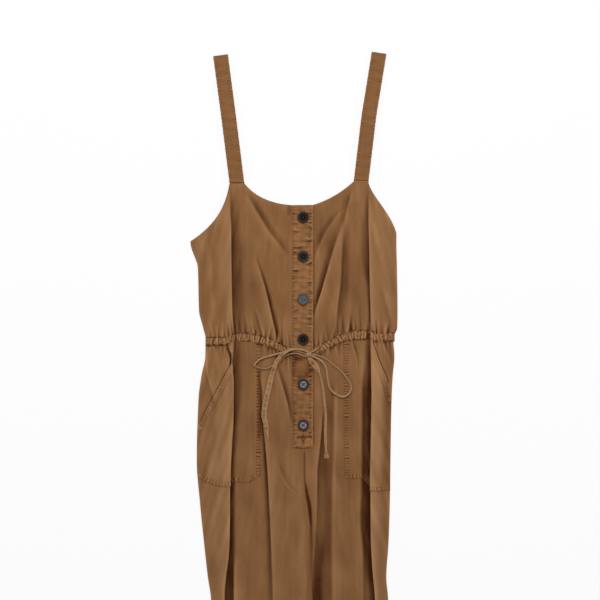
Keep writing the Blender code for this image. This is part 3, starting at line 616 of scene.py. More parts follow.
def mathNode(tree, operation, first, second, place, clamp=False):
    node = addNode(tree, "ShaderNodeMath", place, operation=operation, use_clamp=clamp)
    for socket, value in zip(node.inputs, (first, second)):
        if isinstance(value, (int, float)):
            socket.default_value = value
        else:
            tree.links.new(value, socket)
    return node.outputs[0]


def mixColour(tree, share, first, second, place, blend="MIX"):
    node = addNode(tree, "ShaderNodeMix", place, data_type="RGBA", blend_type=blend)
    for socket, value in ((node.inputs[0], share), (node.inputs[6], first), (node.inputs[7], second)):
        if isinstance(value, (int, float, tuple)):
            socket.default_value = value
        else:
            tree.links.new(value, socket)
    return node.outputs[2]


def makeTwillGroup():
    # twill: colour with streaks, wash marks, slubs and wear along edges, painted shade and painted highlight from the
    # tone attribute, and the height of its weave
    group, start, end = startGroup(
        "twillWithPaintedShade",
        (
            ("Colour", "NodeSocketColor", (0.2, 0.1, 0.04, 1)),
            ("PaleAndLit", "NodeSocketColor", (0.3, 0.15, 0.07, 1)),
            ("DarkAndShaded", "NodeSocketColor", (0.05, 0.02, 0.01, 1)),
            ("Rubbed", "NodeSocketColor", (0.3, 0.14, 0.05, 1)),
            ("Streaks", "NodeSocketFloat", 0.12),
            ("Rib", "NodeSocketFloat", 0.6),
        ),
        (("Colour", "NodeSocketColor"), ("Height", "NodeSocketFloat")),
    )
    link = group.links.new
    cloth = addNode(group, "ShaderNodeUVMap", (-1200, -300), uv_map="cloth")
    tone = addNode(group, "ShaderNodeAttribute", (-1200, -500), attribute_name="tone")
    rub = addNode(group, "ShaderNodeAttribute", (-1200, -700), attribute_name="rub")
    # long streaks down the warp, wash marks, and slubs of single yarns
    stretch = addMapping(group, (-1000, -200), cloth.outputs["UV"], (150, 9, 1))
    streaks = addNoise(group, (-800, -200), stretch, Scale=1, Detail=4, Roughness=0.62)
    wash = addNoise(group, (-800, -450), cloth.outputs["UV"], Scale=14, Detail=3)
    slub = addMapping(group, (-1000, -650), cloth.outputs["UV"], (900, 120, 1))
    slubs = addNoise(group, (-800, -650), slub, Scale=1, Detail=2)
    # diagonal ribs
    ribs = addNode(group, "ShaderNodeTexWave", (-800, -900), wave_type="BANDS", bands_direction="DIAGONAL")
    setInputs(ribs, Scale=260, Distortion=1.2, Detail=1, Detail_Scale=2)
    link(cloth.outputs["UV"], ribs.inputs["Vector"])
    # brightness from streaks, wash and slubs, about 1
    streakPart = mathNode(group, "SUBTRACT", streaks, 0.5, (-600, -200))
    washPart = mathNode(group, "SUBTRACT", wash, 0.5, (-600, -400))
    slubPart = mathNode(group, "SUBTRACT", slubs, 0.5, (-600, -600))
    both = mathNode(group, "ADD", streakPart, washPart, (-420, -300))
    both = mathNode(group, "MULTIPLY", both, start.outputs["Streaks"], (-260, -300))
    slubPart = mathNode(group, "MULTIPLY", slubPart, 0.22, (-420, -600))
    both = mathNode(group, "ADD", both, slubPart, (-100, -350))
    # the tone attribute holds painted shade and painted highlight with some random tone: above 0 it goes to the pale
    # and lit colour, below 0 to the dark and shaded one
    level = mathNode(group, "ADD", both, tone.outputs["Fac"], (60, -300))
    paleAndLitShare = mathNode(group, "MULTIPLY", level, 1.0, (220, -200), clamp=True)
    deep = mathNode(group, "MULTIPLY", level, -1.0, (220, -380), clamp=True)
    colour = mixColour(group, paleAndLitShare, start.outputs["Colour"], start.outputs["PaleAndLit"], (400, 100))
    colour = mixColour(group, deep, colour, start.outputs["DarkAndShaded"], (560, 100))
    rubbed = mathNode(group, "ADD", rub.outputs["Fac"], slubPart, (220, -600), clamp=True)
    colour = mixColour(group, rubbed, colour, start.outputs["Rubbed"], (720, 100))
    link(colour, end.inputs["Colour"])
    ribHeight = mathNode(group, "MULTIPLY", ribs.outputs["Fac"], start.outputs["Rib"], (-400, -900))
    slubHeight = mathNode(group, "MULTIPLY", slubs, 0.5, (-400, -760))
    link(mathNode(group, "ADD", ribHeight, slubHeight, (-200, -850)), end.inputs["Height"])
    return group


twill = makeTwillGroup()


def srgb(*values):
    return tuple((v / 255 / 12.92) if v <= 10 else ((v / 255 + 0.055) / 1.055) ** 2.4 for v in values) + (1,)


# for cloth and tie: a base colour, a paler one for painted highlight and paler tone, a dark one for painted shade and
# darker tone, a rubbed one for wear along edges, and the strength of streaks and ribs
clothColours = {
    "cloth": {"Colour": srgb(126, 88, 54), "PaleAndLit": srgb(166, 126, 88), "DarkAndShaded": srgb(62, 27, 2),
              "Rubbed": srgb(150, 102, 62), "Streaks": 0.34, "Rib": 0.6},
    "tie": {"Colour": srgb(147, 112, 78), "PaleAndLit": srgb(180, 144, 108), "DarkAndShaded": srgb(66, 38, 14),
            "Rubbed": srgb(160, 122, 86), "Streaks": 0.24, "Rib": 0.5},
}

clothFinish = {"roughness": 0.88, "shine": 0.12, "sheen": 0.05, "weave": 0.35, "weaveDepth": 0.3 * mm}


def makeClothMaterial(name):
    material, tree, shader = newMaterial(name)
    weave = addNode(tree, "ShaderNodeGroup", (-500, 0))
    weave.node_tree = twill
    setInputs(weave, **clothColours[name])
    tree.links.new(weave.outputs["Colour"], shader.inputs["Base Color"])
    bump = addNode(tree, "ShaderNodeBump", (-250, -300))
    setInputs(bump, Strength=clothFinish["weave"], Distance=clothFinish["weaveDepth"])
    tree.links.new(weave.outputs["Height"], bump.inputs["Height"])
    tree.links.new(bump.outputs["Normal"], shader.inputs["Normal"])
    setInputs(shader, Roughness=clothFinish["roughness"], Specular_IOR_Level=clothFinish["shine"],
              Sheen_Weight=clothFinish["sheen"], Sheen_Roughness=0.5)
    return material


clothMaterial = makeClothMaterial("cloth")
tieMaterial = makeClothMaterial("tie")


def makePlainMaterial(name, colour, roughness, grain=0.0):
    # thread, plastic and the like, with a fine uneven colour
    material, tree, shader = newMaterial(name)
    place = addNode(tree, "ShaderNodeTexCoord", (-900, 0))
    noise = addNoise(tree, (-700, 0), place.outputs["Object"], Scale=900)
    darker = tuple(value * (1 - grain) for value in colour[:3]) + (1,)
    lighter = tuple(min(1, value * (1 + grain)) for value in colour[:3]) + (1,)
    tree.links.new(mixColour(tree, noise, darker, lighter, (-400, 0)), shader.inputs["Base Color"])
    setInputs(shader, Roughness=roughness)
    return material


threadMaterial = makePlainMaterial("thread", srgb(112, 66, 34), 0.8, 0.3)
paleThreadMaterial = makePlainMaterial("paleThread", srgb(178, 122, 72), 0.8, 0.3)
seamThreadMaterial = makePlainMaterial("seamThread", srgb(84, 50, 24), 0.85, 0.3)


# Stitches: small closed capsules, all of one seam in one mesh

def addStitches(name, lines, material, length=2.7 * mm, gap=1.1 * mm, radius=0.36 * mm, seed=1):
    # lines holds (points, normals) along the cloth
    chance = np.random.default_rng(seed)
    sides = 6
    turn = np.arange(sides) * math.tau / sides
    points = []
    faces = []
    for spots, normals in lines:
        travel = summed(np.linalg.norm(np.diff(spots, axis=0), axis=1))
        place = gap / 2
        while place + length < travel[-1]:
            reach = length * chance.uniform(0.88, 1.08)
            stations = place + reach * np.array([0, 0.12, 0.5, 0.88, 1])
            centres = readOff(stations, travel, spots)
            up = unit(readOff(stations, travel, normals))
            run = centres[-1] - centres[0]
            run /= max(np.linalg.norm(run), 1e-9)
            across = unit(np.cross(run, up))
            sink = np.array([-1.1, -0.2, 0.35, -0.2, -1.1]) * radius
            centres = centres + up * sink[:, None]
            base = len(points)
            points.append(centres[0])
            for ring in (1, 2, 3):
                size = radius * (0.8 if ring != 2 else 1)
                for angle in turn:
                    points.append(centres[ring] + size * (across[ring] * math.cos(angle) + up[ring] * math.sin(angle)))
            points.append(centres[4])
            last = base + 1 + 3 * sides
            for k in range(sides):
                after = (k + 1) % sides
                faces.append((base, base + 1 + k, base + 1 + after))
                for ring in (0, 1):
                    a = base + 1 + ring * sides
                    faces.append((a + k, a + sides + k, a + sides + after, a + after))
                faces.append((last, base + 1 + 2 * sides + after, base + 1 + 2 * sides + k))
            place += reach + gap * chance.uniform(0.7, 1.3)
    points = np.array(points)
    points[:, 2] = np.maximum(points[:, 2], 0.02 * mm)
    thing = addMesh(name, points, faces)
    thing.data.materials.append(material)
    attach(thing, "root")


def normalsOf(surface, x, y, small):
    across = surface(x + small, y) - surface(x - small, y)
    up = surface(x, y + small) - surface(x, y - small)
    return unit(np.cross(across, up))


def lineOn(surface, x, y, spacing=1.2 * mm, height=0.25 * mm):
    # points and normals along a line on a surface given as a function of x and y
    x = np.asarray(x, float)
    y = np.asarray(y, float)
    travel = summed(np.hypot(np.diff(x), np.diff(y)))
    count = max(3, int(travel[-1] / spacing))
    stations = np.linspace(0, travel[-1], count)
    x = np.interp(stations, travel, x)
    y = np.interp(stations, travel, y)
    normals = normalsOf(surface, x, y, 0.6 * mm)
    return surface(x, y) + normals * height, normals


def stitchedOn(surface, ends, **settings):
    line = np.array(ends) * mm
    return lineOn(surface, line[:, 0], line[:, 1], **settings)


def nearLine(x, y, line):
    # distance to a polyline, and how far along it the nearest point is
    best = np.full(np.shape(x), 1e9)
    where = np.zeros(np.shape(x))
    travelled = 0
    for first, second in zip(line, line[1:]):
        run = np.array(second) - np.array(first)
        length = math.hypot(*run)
        share = np.clip(((x - first[0]) * run[0] + (y - first[1]) * run[1]) / length ** 2, 0, 1)
        gap = np.hypot(x - first[0] - share * run[0], y - first[1] - share * run[1])
        closer = gap < best
        best = np.where(closer, gap, best)
        where = np.where(closer, travelled + share * length, where)
        travelled += length
    return best, where


def pucker(away, travel, size, reach, period, seed):
    # ripples across a seam, which die out away from it, and the groove of the seam itself
    chance = np.random.default_rng(seed)
    phase = chance.uniform(0, math.tau, 3)
    wave = travel * math.tau / period
    wave = wave + 0.9 * np.sin(wave / 3.7 + phase[0]) + 0.7 * np.sin(wave / 8.3 + phase[1])
    depth = 0.65 + 0.35 * np.sin(wave / 5.1 + phase[2])
    return size * depth * np.cos(wave) * (1 - smooth(away / reach))


# Front panels, and the lines of the patch pockets on them. The mouth's corner under the casing is at
# its share of the pocket's top.

pockets = {
    "above": 1.25 * mm, "pucker": 0.8 * mm, "period": 5.4 * mm, "gape": 2.4 * mm,
    "stitchRows": (1.5, 6.2), "mouthRows": (1.8, 7.2),
    "right": {
        "bottom": ((-182, -241.5), (-170, -249.2), (-148.8, -255.5), (-131.3, -255.5), (-119, -247.6),
                   (-94.5, -249.2), (-85.8, -244), (-80.5, -239.5), (-74.6, -236)),
        "mouth": ((-182, -150), (-178.3, -141), (-161.7, -108.5), (-154, -94), (-138.5, -61), (-130.5, -47),
                  (-127, -40), (-126.3, -33), (-127, -24.5), (-129, -17), (-131.5, -9)),
        "inner": ((-74.6, -236), (-74.6, -4)),
        "cornerShare": 0.58, "columns": 104, "rows": 176,
    },
    "left": {
        "bottom": ((73, -241), (81, -242.6), (104.1, -241.5), (116, -256), (123.2, -263.4), (154, -263.4)),
        "mouth": ((154.9, -99.8), (151, -87.5), (148, -72), (142.5, -56), (134, -35), (128.5, -20), (122, -2)),
        "inner": ((73, -241), (72.5, -172.4), (72, -96.3), (72, 4)),
        "cornerShare": 0.62, "columns": 76, "rows": 170,
    },
}
bodice = {"rows": 118, "rightCounts": (40, 14, 74), "leftCounts": (62, 14, 34), "crestBand": 7 * mm}
trousers = {"rightCounts": (36, 14, 66), "leftCounts": (58, 14, 28), "crestBand": 8 * mm}


def edgeLines(side):
    # edges of a half of the garment, from -X to +X
    lines = (lambda y: sideEdge(y, side), lambda y: middleEdge(y, side))
    return lines if side == "right" else lines[::-1]


def crestGuides(side, band):
    fold = folds["rightSide" if side == "right" else "leftSide"]

    def crest(y):
        return along(fold["rows"], y, 1)

    first, last = edgeLines(side)
    return first, lambda y: crest(y) - band, lambda y: crest(y) + band, last


def mouthX(side, y):
    # x of a pocket's mouth at y
    line = np.array(sorted(pockets[side]["mouth"], key=lambda point: point[1])) * mm
    return np.interp(y, line[:, 1], line[:, 0])


def between(y, low, high, soft=6):
    return smooth((y / mm - low) / soft) * smooth((high - y / mm) / soft)


def paintedFoldShade(x, y):
    # painted shade in the folds' valleys and painted highlight on their crests
    total = np.zeros(np.shape(x))
    for fold in folds.values():
        hollow, crest = foldShape(fold, x, y)[2:]
        total += 0.15 * crest - 0.72 * fold.get("dark", 1) * hollow
    return total


def paintedShadeAndTone(x, y, points):
    # tone: painted shade in folds and hollows and painted highlight on crests, painted light on the paler side panels,
    # paler along the side edges, random streaks and unevenness, and patches of painted shade and light
    low = hollowness(points)
    wide = hollowness(points, 34 * mm, 6 * mm)
    tone = np.where(low > 0, -0.4, -0.25) * low + np.where(wide > 0, -0.2, -0.15) * wide
    tone = np.maximum(tone + paintedFoldShade(x, y), -1.05)
    outer = np.where(x < 0, smooth((-105 * mm - x) / (30 * mm)), smooth((x - 100 * mm) / (30 * mm)))
    streak = unevenness(x, y * 0.12, 13 * mm, 22)
    rim = np.minimum(x - sideEdge(y, "right"), sideEdge(y, "left") - x)
    slanting = unevenness(np.abs(x) + 0.28 * y, y * 0.08, 15 * mm, 27)
    tone = tone + 0.22 * (1 - smooth(rim / (4.5 * mm))) + 0.07 * unevenness(x, y * 0.6, 34 * mm, 23)
    tone = tone + 0.15 * slanting * (0.25 + 0.75 * outer) * smooth((y + 420 * mm) / (80 * mm))
    tone = tone + 0.13 * outer + 0.06 * unevenness(x, y, 90 * mm, 21) + 0.04 * streak
    return tone + shadeTone(x, y)


# x, y, half width, half height and tone of broad soft patches of painted shade, and one of painted light
shades = (
    (-99, 88, 15, 75, -0.15), (34, 197, 17, 28, -0.2), (85, 96, 15, 75, -0.12), (-97, -166, 16, 75, -0.13),
    (64, -166, 9, 75, -0.1), (92, -166, 12, 75, -0.08), (37, -166, 8, 70, -0.1), (-153, 96, 20, 70, -0.1),
    (134, -358, 13, 90, 0.12), (112, -358, 6, 90, -0.16), (33, -420, 11, 45, -0.3), (-116, 130, 7, 70, -0.08),
)


def shadeTone(x, y):
    tone = np.zeros(np.shape(x))
    for spotX, spotY, halfX, halfY, amount in shades:
        away = ((x / mm - spotX) / (1.3 * halfX)) ** 2 + ((y / mm - spotY) / (1.3 * halfY)) ** 2
        tone = tone + amount * bell(away, 1)
    return tone


# x of the two rows of stitches beside the placket's top
neckRows = (-26.4, -22.3)
# x and y along a crease with a painted highlight in the right side panel
paintedHighlightCrease = ((-168.5, -12), (-169.8, -32), (-168.5, -56), (-162.5, -80), (-156, -96))


def seamTone(x, y):
    # painted shade under the placket's edge, in the middle seam, where the legs meet and inside the pocket mouths, dark
    # lines along the stitching beside the placket's top, and a painted highlight along a crease
    tone = -0.6 * bell(x - 18.9 * mm, 1.1 * mm) * between(y, -186, 178)
    middle = np.abs(x - middleEdge(y, "left"))
    tone = tone - 0.75 * bell(middle, 1.5 * mm) * between(y, -262, -186, 20)
    inLeg = x - middleEdge(y, "left")
    lens = 7.5 * mm * bell(y + 288 * mm, 32 * mm)
    tone = tone - 0.85 * (inLeg > 0) * smooth((lens + mm - inLeg) / (3 * mm)) * between(y, -345, -240, 20)
    for line in neckRows:
        tone = tone - 0.85 * bell(x - line * mm, 0.85 * mm) * between(y, 217, 240, 4)
    away = mouthX("right", y) - x
    tone = tone - 2 * bell(away - 1.8 * mm, 2.3 * mm, 4) * between(y, -47, -9, 9)
    tone = tone - 0.85 * bell(away - 1.3 * mm, 1.4 * mm) * between(y, -146, -36)
    away = x - mouthX("left", y)
    tone = tone - 1.05 * bell(away - 1.1 * mm, 1.3 * mm) * between(y, -78, -8)
    pale = nearLine(x, y, scaled(paintedHighlightCrease))[0]
    return tone + 0.5 * bell(pale, 1.7 * mm) * between(y, -92, -10, 16)


def addBodice(side):
    guides = crestGuides(side, bodice["crestBand"])
    counts = bodice[side + "Counts"]
    topLine = rightTop if side == "right" else leftTop
    x, y = panelGrid(
        guides, counts, lambda x: along(waistLine, x) - 3 * mm,
        lambda x: np.interp(x, topLine[:, 0], topLine[:, 1]), np.linspace(0, 1, bodice["rows"] + 1))
    points = frontSurface(x, y)
    points[..., 2] -= 0.9 * mm * smooth((along(waistLine, x) + 4 * mm - y) / (6 * mm))
    tone = paintedShadeAndTone(x, y, points) + gatherShape(x, y)[1] + seamTone(x, y)
    edge = np.interp(x, topLine[:, 0], topLine[:, 1]) - y
    rub = 0.22 * (1 - smooth(edge / (5 * mm)))
    # a painted highlight along the left armhole's edge
    tone = tone + 0.4 * bell(edge - 2 * mm, 3.5 * mm) * smooth((x - 138 * mm) / (10 * mm))
    addCloth(f"frontBodice_{side}", f"front_bodice_{side}", points, x, y, tone, rub)


def addTrouserFront(side):
    guides = crestGuides(side, trousers["crestBand"])
    counts = trousers[side + "Counts"]
    rowShares = 1 - shares(((0, 0.33, 150), (0.33, 0.55, 60), (0.55, 1, 50)))[::-1]
    x, y = panelGrid(
        guides, counts, lambda x: np.full(np.shape(x), garment["hemY"]),
        lambda x: along(waistLine, x) + 3 * mm, rowShares)
    points = frontSurface(x, y)
    points[..., 2] -= 1.1 * mm * smooth((y - along(waistLine, x) + 5 * mm) / (6 * mm))
    hem = y - garment["hemY"]
    points[..., 2] += 0.5 * mm * (1 - smooth((hem - 21 * mm) / (2 * mm)))
    points[..., 2] += pucker(np.abs(hem - garment["hemDepth"]), x, 0.4 * mm, 9 * mm, 7 * mm, 8)
    tone = paintedShadeAndTone(x, y, points) + gatherShape(x, y)[1] + seamTone(x, y)
    rub = 0.2 * (1 - smooth(hem / (4 * mm)))
    addCloth(f"trouserFront_{side}", f"trouser_front_{side}", points, x, y, tone, rub)


for half in ("right", "left"):
    addBodice(half)
    addTrouserFront(half)
print("front panels made")


def spacedPoints(line, count):
    # evenly spaced points along a polyline
    line = np.array(line, float)
    travel = summed(np.hypot(*np.diff(line, axis=0).T))
    return readOff(np.linspace(0, travel[-1], count), travel, line)


def rounded(line, turns=3):
    # corners of a polyline cut, with its ends kept
    line = np.array(line, float)
    for _ in range(turns):
        near = line[:-1] * 0.8 + line[1:] * 0.2
        far = line[:-1] * 0.2 + line[1:] * 0.8
        line = np.concatenate([line[:1], np.stack([near, far], 1).reshape(-1, 2)[1:-1], line[-1:]])
    return line


def pocketGrid(side):
    # x and y of a pocket's points, from its four edges
    lines = pockets[side]
    columns, rows = lines["columns"], lines["rows"]
    bottom = spacedPoints(rounded(lines["bottom"], 2), columns + 1) * mm
    mouth = rounded(lines["mouth"]) * mm
    atCorner = max(2, round(columns * lines["cornerShare"] * (1 if side == "right" else 0.45)))
    reach = np.linspace(mouth[-1][0], lines["inner"][-1][0] * mm, 12)
    under = np.stack([reach, along(waistLine, reach) - 4 * mm], -1)
    first = spacedPoints(mouth, atCorner + 1)
    second = spacedPoints(under, columns - atCorner + 1)
    top = np.concatenate([first[:-1], second])
    inner = spacedPoints(np.array(lines["inner"]) * mm, rows + 1)
    inner[-1] = top[-1]
    inner = spacedPoints(np.concatenate([inner[:-6], inner[-1:]]), rows + 1)
    y = np.linspace(bottom[0 if side == "right" else -1][1], top[0][1], rows + 1)
    outerX = sideEdge(y, side) + (0.5 * mm if side == "right" else -0.5 * mm)
    outer = np.stack([outerX, y], -1)
    if side == "right":
        low, high, start, end = bottom, top, outer, inner
    else:
        low, high, start, end = bottom, top[::-1], inner, outer
    low = low.copy()
    low[0], low[-1] = start[0], end[0]
    high = high.copy()
    high[0], high[-1] = start[-1], end[-1]
    u = np.linspace(0, 1, columns + 1)[None, :, None]
    v = np.linspace(0, 1, rows + 1)[:, None, None]
    grid = (1 - v) * low[None] + v * high[None] + (1 - u) * start[:, None] + u * end[:, None]
    corners = ((1 - u) * (1 - v) * low[0] + u * (1 - v) * low[-1] + (1 - u) * v * high[0] + u * v * high[-1])
    grid = grid - corners
    x, y = grid[..., 0], grid[..., 1]
    if side == "right":
        # rows below the mouth's hooked end stay inside it
        x = np.where(y > -52 * mm, np.maximum(x, mouthX(side, y) + 2 * mm * (1 - v[..., 0])), x)
    return x, y


def pocketLines(side):
    lines = pockets[side]
    seam = scaled(rounded(lines["bottom"], 2))
    inner = scaled(lines["inner"])
    seam = seam + inner[1:] if side == "right" else (inner[::-1] + seam[1:])
    return seam, scaled(rounded(lines["mouth"]))


def pocketSurface(side, x, y, dressed=False):
    # top of the pocket's cloth, with its tone and rub if it is dressed
    x, y = spread(x, y)
    seam, mouth = pocketLines(side)

    def under(x, y):
        return frontSurface(x, y, gathered=0.5)

    base = under(x, y)
    normals = normalsOf(under, x, y, 0.8 * mm)
    seamAway, seamTravel = nearLine(x, y, seam)
    mouthAway, mouthTravel = nearLine(x, y, mouth)
    upright = 0.92 * (1 - smooth(mouthAway / (15 * mm)))[..., None]
    normals = normals * (1 - upright) + np.array((0, 0, 1.0)) * upright
    fromBand = np.maximum(np.abs(seamAway - 3.8 * mm) - 2 * mm, 0)
    ripples = pucker(fromBand, seamTravel, 1, 3.4 * mm, pockets["period"] * (1 if side == "right" else 0.9), 31)
    banded = between(y, -400, -52 if side == "right" else -58, 12)
    fromBand = np.maximum(np.abs(mouthAway - 4.5 * mm) - 2 * mm, 0)
    bandRipples = pucker(fromBand, mouthTravel, 1, 3 * mm, 4.8 * mm, 32) * banded
    total = sum(math.hypot(*(b - a)) for a, b in zip(mouth, mouth[1:]))
    openness = np.sin(np.clip(mouthTravel / total, 0, 1) * math.pi) ** 0.7
    gape = pockets["gape"] * openness * (1 - smooth(mouthAway / (16 * mm)))
    lift = pockets["above"] + pockets["pucker"] * (ripples + 0.7 * bandRipples) * 0.8
    for row in pockets["stitchRows"]:
        lift = lift - 0.35 * mm * bell(seamAway - row * mm, 0.9 * mm)
    points = base + normals * np.maximum(lift, 0.6 * mm)[..., None]
    points[..., 2] += gape
    if not dressed:
        return points
    # tone: painted highlight on the puckers' tops and painted shade between them, along the seam and the mouth band,
    # deeper near the inner seam; on the right pocket a column of painted shade along the seam and a painted shadow
    # under the casing by the inner corner; a painted highlight on the mouth's folded edge and a dark line beside its
    # band's stitching
    inner = smooth((x + 92 * mm) / (4 * mm)) if side == "right" else smooth((86 * mm - x) / (4 * mm))
    inner = 0.55 + 0.45 * inner
    tone = 0.4 * np.clip(ripples, 0, 1) - inner * np.clip(-1.25 * ripples, 0, 1)
    tone = tone + 0.6 * np.clip(bandRipples, 0, 1) - 0.85 * np.clip(-bandRipples, 0, 1)
    if side == "right":
        column = bell(seamAway - 2.4 * mm, 3.2 * mm, 4) * between(y, -180, -44, 16)
        tone = tone * (1 - 0.35 * column) - 0.72 * column
        tone = tone - 0.4 * column * bell(seamAway - 0.8 * mm, 1.6 * mm)
        tone = tone - 0.8 * bell(x + 76.5 * mm, 3.5 * mm) * between(y, -14, -3, 4)
    tone = tone + 0.6 * bell(mouthAway, 1 * mm) * (0.5 + 0.5 * between(y, -100, -8))
    tone = tone - 0.3 * bell(mouthAway - 8.5 * mm, 1 * mm) * banded
    rub = 0.14 * (1 - smooth((seamAway - 7 * mm) / (4 * mm))) + 0.12 * (1 - smooth((mouthAway - 8 * mm) / (3 * mm)))
    return points, tone, rub


def addPocket(side):
    x, y = pocketGrid(side)
    points, tone, rub = pocketSurface(side, x, y, dressed=True)
    tone = tone + paintedShadeAndTone(x, y, points)
    addCloth(f"patchPocket_{side}", f"pocket_{side}", points, x, y, tone, rub)


def besideLine(line, gap):
    # a polyline moved to its left by a distance
    line = np.array(line, float)
    run = unit(np.gradient(line, axis=0))
    return line + np.stack([-run[:, 1], run[:, 0]], -1) * gap


for half in ("right", "left"):
    addPocket(half)
    seam, mouth = pocketLines(half)
    seam = spacedPoints(seam, 220)
    mouth = spacedPoints(mouth, 120)
    mouthSign = -1 if half == "right" else 1
    paths = [besideLine(seam, gap * mm)[4:-6] for gap in pockets["stitchRows"]]
    paths += [besideLine(mouth, mouthSign * gap * mm)[3:-8] for gap in pockets["mouthRows"]]
    lines = [lineOn(lambda x, y: pocketSurface(half, x, y), *path.T) for path in paths]
    addStitches(f"pocketStitches_{half}", lines, threadMaterial)
print("pockets made")


# Waist casing, ruched on its drawcord

casing = {
    "cloth": 0.9 * mm, "height": 1.7 * mm, "above": 1.5 * mm, "step": 0.7 * mm, "rows": 28,
    "stitched": 0.06, "seed": 21,
    # x, reach and amount of its widest stretch
    "rightWidest": (-98, 27, 2.6), "leftWidest": (102, 26, 4.2),
    # x, depth, width and slant of every crease
    "right": (
        (-157, 0.9, 1.3, 0.05), (-145, 0.35, 1.8, 0), (-130, 0.4, 1.2, -0.1), (-123, 0.55, 1.4, 0),
        (-117.8, 1, 1.5, 0), (-113, 0.6, 0.9, 0), (-104, 0.5, 1, 0), (-100.6, 0.55, 0.8, 0), (-96.8, 0.9, 1.1, 0),
        (-80.2, 0.5, 0.9, 0.15), (-75.5, 1, 1.2, 0.25), (-66.5, 0.65, 1.2, 0.25), (-50, 0.7, 1.2, -0.15),
        (-43.5, 0.75, 1.2, -0.2), (-33, 0.6, 1.3, -0.5),
    ),
    "left": (
        (27, 0.5, 1.2, -0.4), (34.5, 0.7, 1.1, -0.5), (40.6, 0.6, 1, -0.5), (52.4, 0.9, 1.2, -0.45),
        (60, 0.6, 1, -0.45), (67.8, 0.75, 1.1, -0.45), (72.4, 0.6, 0.9, -0.45), (78.4, 1, 1.2, -0.35),
        (85.2, 0.6, 1, -0.2), (95, 0.2, 1.6, 0), (106.5, 0.45, 1.4, 0.1), (114.5, 1, 2.6, 0), (121.5, 0.6, 1, 0),
        (124.8, 0.5, 1, 0), (149.3, 0.5, 1, -0.15),
    ),
    # x, size and width of the gaps of painted shade along the lower stitching, and along the upper
    "lowerRight": (
        (-163.5, 0.6, 1.8), (-156, 1, 2.6), (-144, 0.8, 3.4), (-134, 0.85, 2), (-123.7, 0.7, 2.4), (-117.8, 0.9, 1.8),
        (-113.4, 0.9, 1.8), (-104, 1, 1.7), (-99.3, 0.9, 1.6), (-94.7, 1, 1.8), (-80.2, 0.8, 2.4), (-75, 1.2, 2),
        (-67.8, 0.9, 1.7), (-56.5, 1, 2), (-52.4, 1, 1.6), (-47.5, 1.2, 1.7), (-36, 0.5, 2),
    ),
    "upperRight": (
        (-163, 0.4, 2), (-155.5, 0.7, 1.6), (-145, 0.5, 3), (-134.5, 0.7, 3), (-120.4, 0.9, 2), (-114.6, 0.7, 2),
        (-97.4, 0.9, 2.6), (-84, 0.5, 2.2), (-74, 0.7, 2), (-66.6, 0.6, 1.5), (-61, 0.5, 1.5), (-49.8, 0.5, 1.2),
        (-45.2, 0.8, 1.3), (-33, 0.5, 2.4),
    ),
    "lowerLeft": (
        (36, 0.5, 2), (45, 0.5, 2), (55, 0.8, 1.8), (62.9, 1.2, 2), (74.7, 0.6, 3), (88.4, 1.1, 1.8), (100.2, 0.5, 1.6),
        (109, 1.1, 2.8), (117.6, 1.1, 2), (129.7, 0.6, 1.6), (145, 0.45, 1.6),
    ),
    "upperLeft": (
        (51, 0.5, 1.6), (66, 0.5, 2), (79.6, 0.8, 1.8), (84.5, 0.7, 2), (100, 0.5, 2.4), (113.6, 1, 2.2),
        (123.8, 0.8, 1.8), (149.3, 0.5, 1.4),
    ),
}


def lesserCreases(side):
    # small creases between the plainest ones, which they lie along
    plain = np.array(casing[side])
    chance = np.random.default_rng(casing["seed"] + len(plain))
    found = []
    spot = plain[0][0]
    while spot < plain[-1][0]:
        spot += chance.uniform(2.8, 6.5)
        if np.min(np.abs(plain[:, 0] - spot)) > 2.2:
            found.append((spot, chance.uniform(0.4, 1), chance.uniform(0.7, 1.3),
                          np.interp(spot, plain[:, 0], plain[:, 3]) + chance.uniform(-0.2, 0.2)))
    return tuple(found)


casingCreases = {half: casing[half] + lesserCreases(half) for half in ("right", "left")}


def creased(side, x, v):
    # height share of the casing's puffs, and its tone: random unevenness, painted shade in the creases and a painted
    # highlight on the puffs beside them
    across = (v - 0.5) * garment["casingHeight"]
    puff = 0.86 + 0.14 * unevenness(x, 0 * x, 9 * mm, 12)
    tone = 0.28 * unevenness(x, across * 1.4, 7 * mm, 14) - 0.04 + 0 * v
    for spot, depth, width, slant in casingCreases[side]:
        off = (x - spot * mm - slant * across - 0.4 * mm * np.sin(across * 500 + spot)) / (1.2 * width * mm)
        puff = puff * (1 - 0.85 * depth * bell(off, 1.5))
        ends = 0.75 + 0.25 * np.cos(across * 260 + spot)
        tone = tone - 1.3 * depth * ends * bell(off, 1)
        tone = tone + 0.62 * depth * (bell(off - 2, 1) + 0.6 * bell(off + 2, 1))
    return np.clip(puff, 0, 1.1), tone


def stitchGaps(side, x, v):
    # painted shade along each line of stitching, deeper in the gaps where the gathers pinch
    tone = np.zeros(np.shape(x))
    for part, edge in (("lower", casing["stitched"]), ("upper", 1 - casing["stitched"])):
        off = (v - edge) * garment["casingHeight"]
        line = 0.65 + 0.85 * unevenness(x, 0 * x, 4.5 * mm, 15 if part == "lower" else 16)
        tone = tone - line * bell(off, 1.2 * mm)
        for spot, size, width in casing[part + side.capitalize()]:
            near = ((x - spot * mm) / (width * mm)) ** 2
            tone = tone - 1.9 * size * np.exp(-near - (off / ((2.3 if part == "lower" else 1.6) * mm)) ** 2)
    return tone


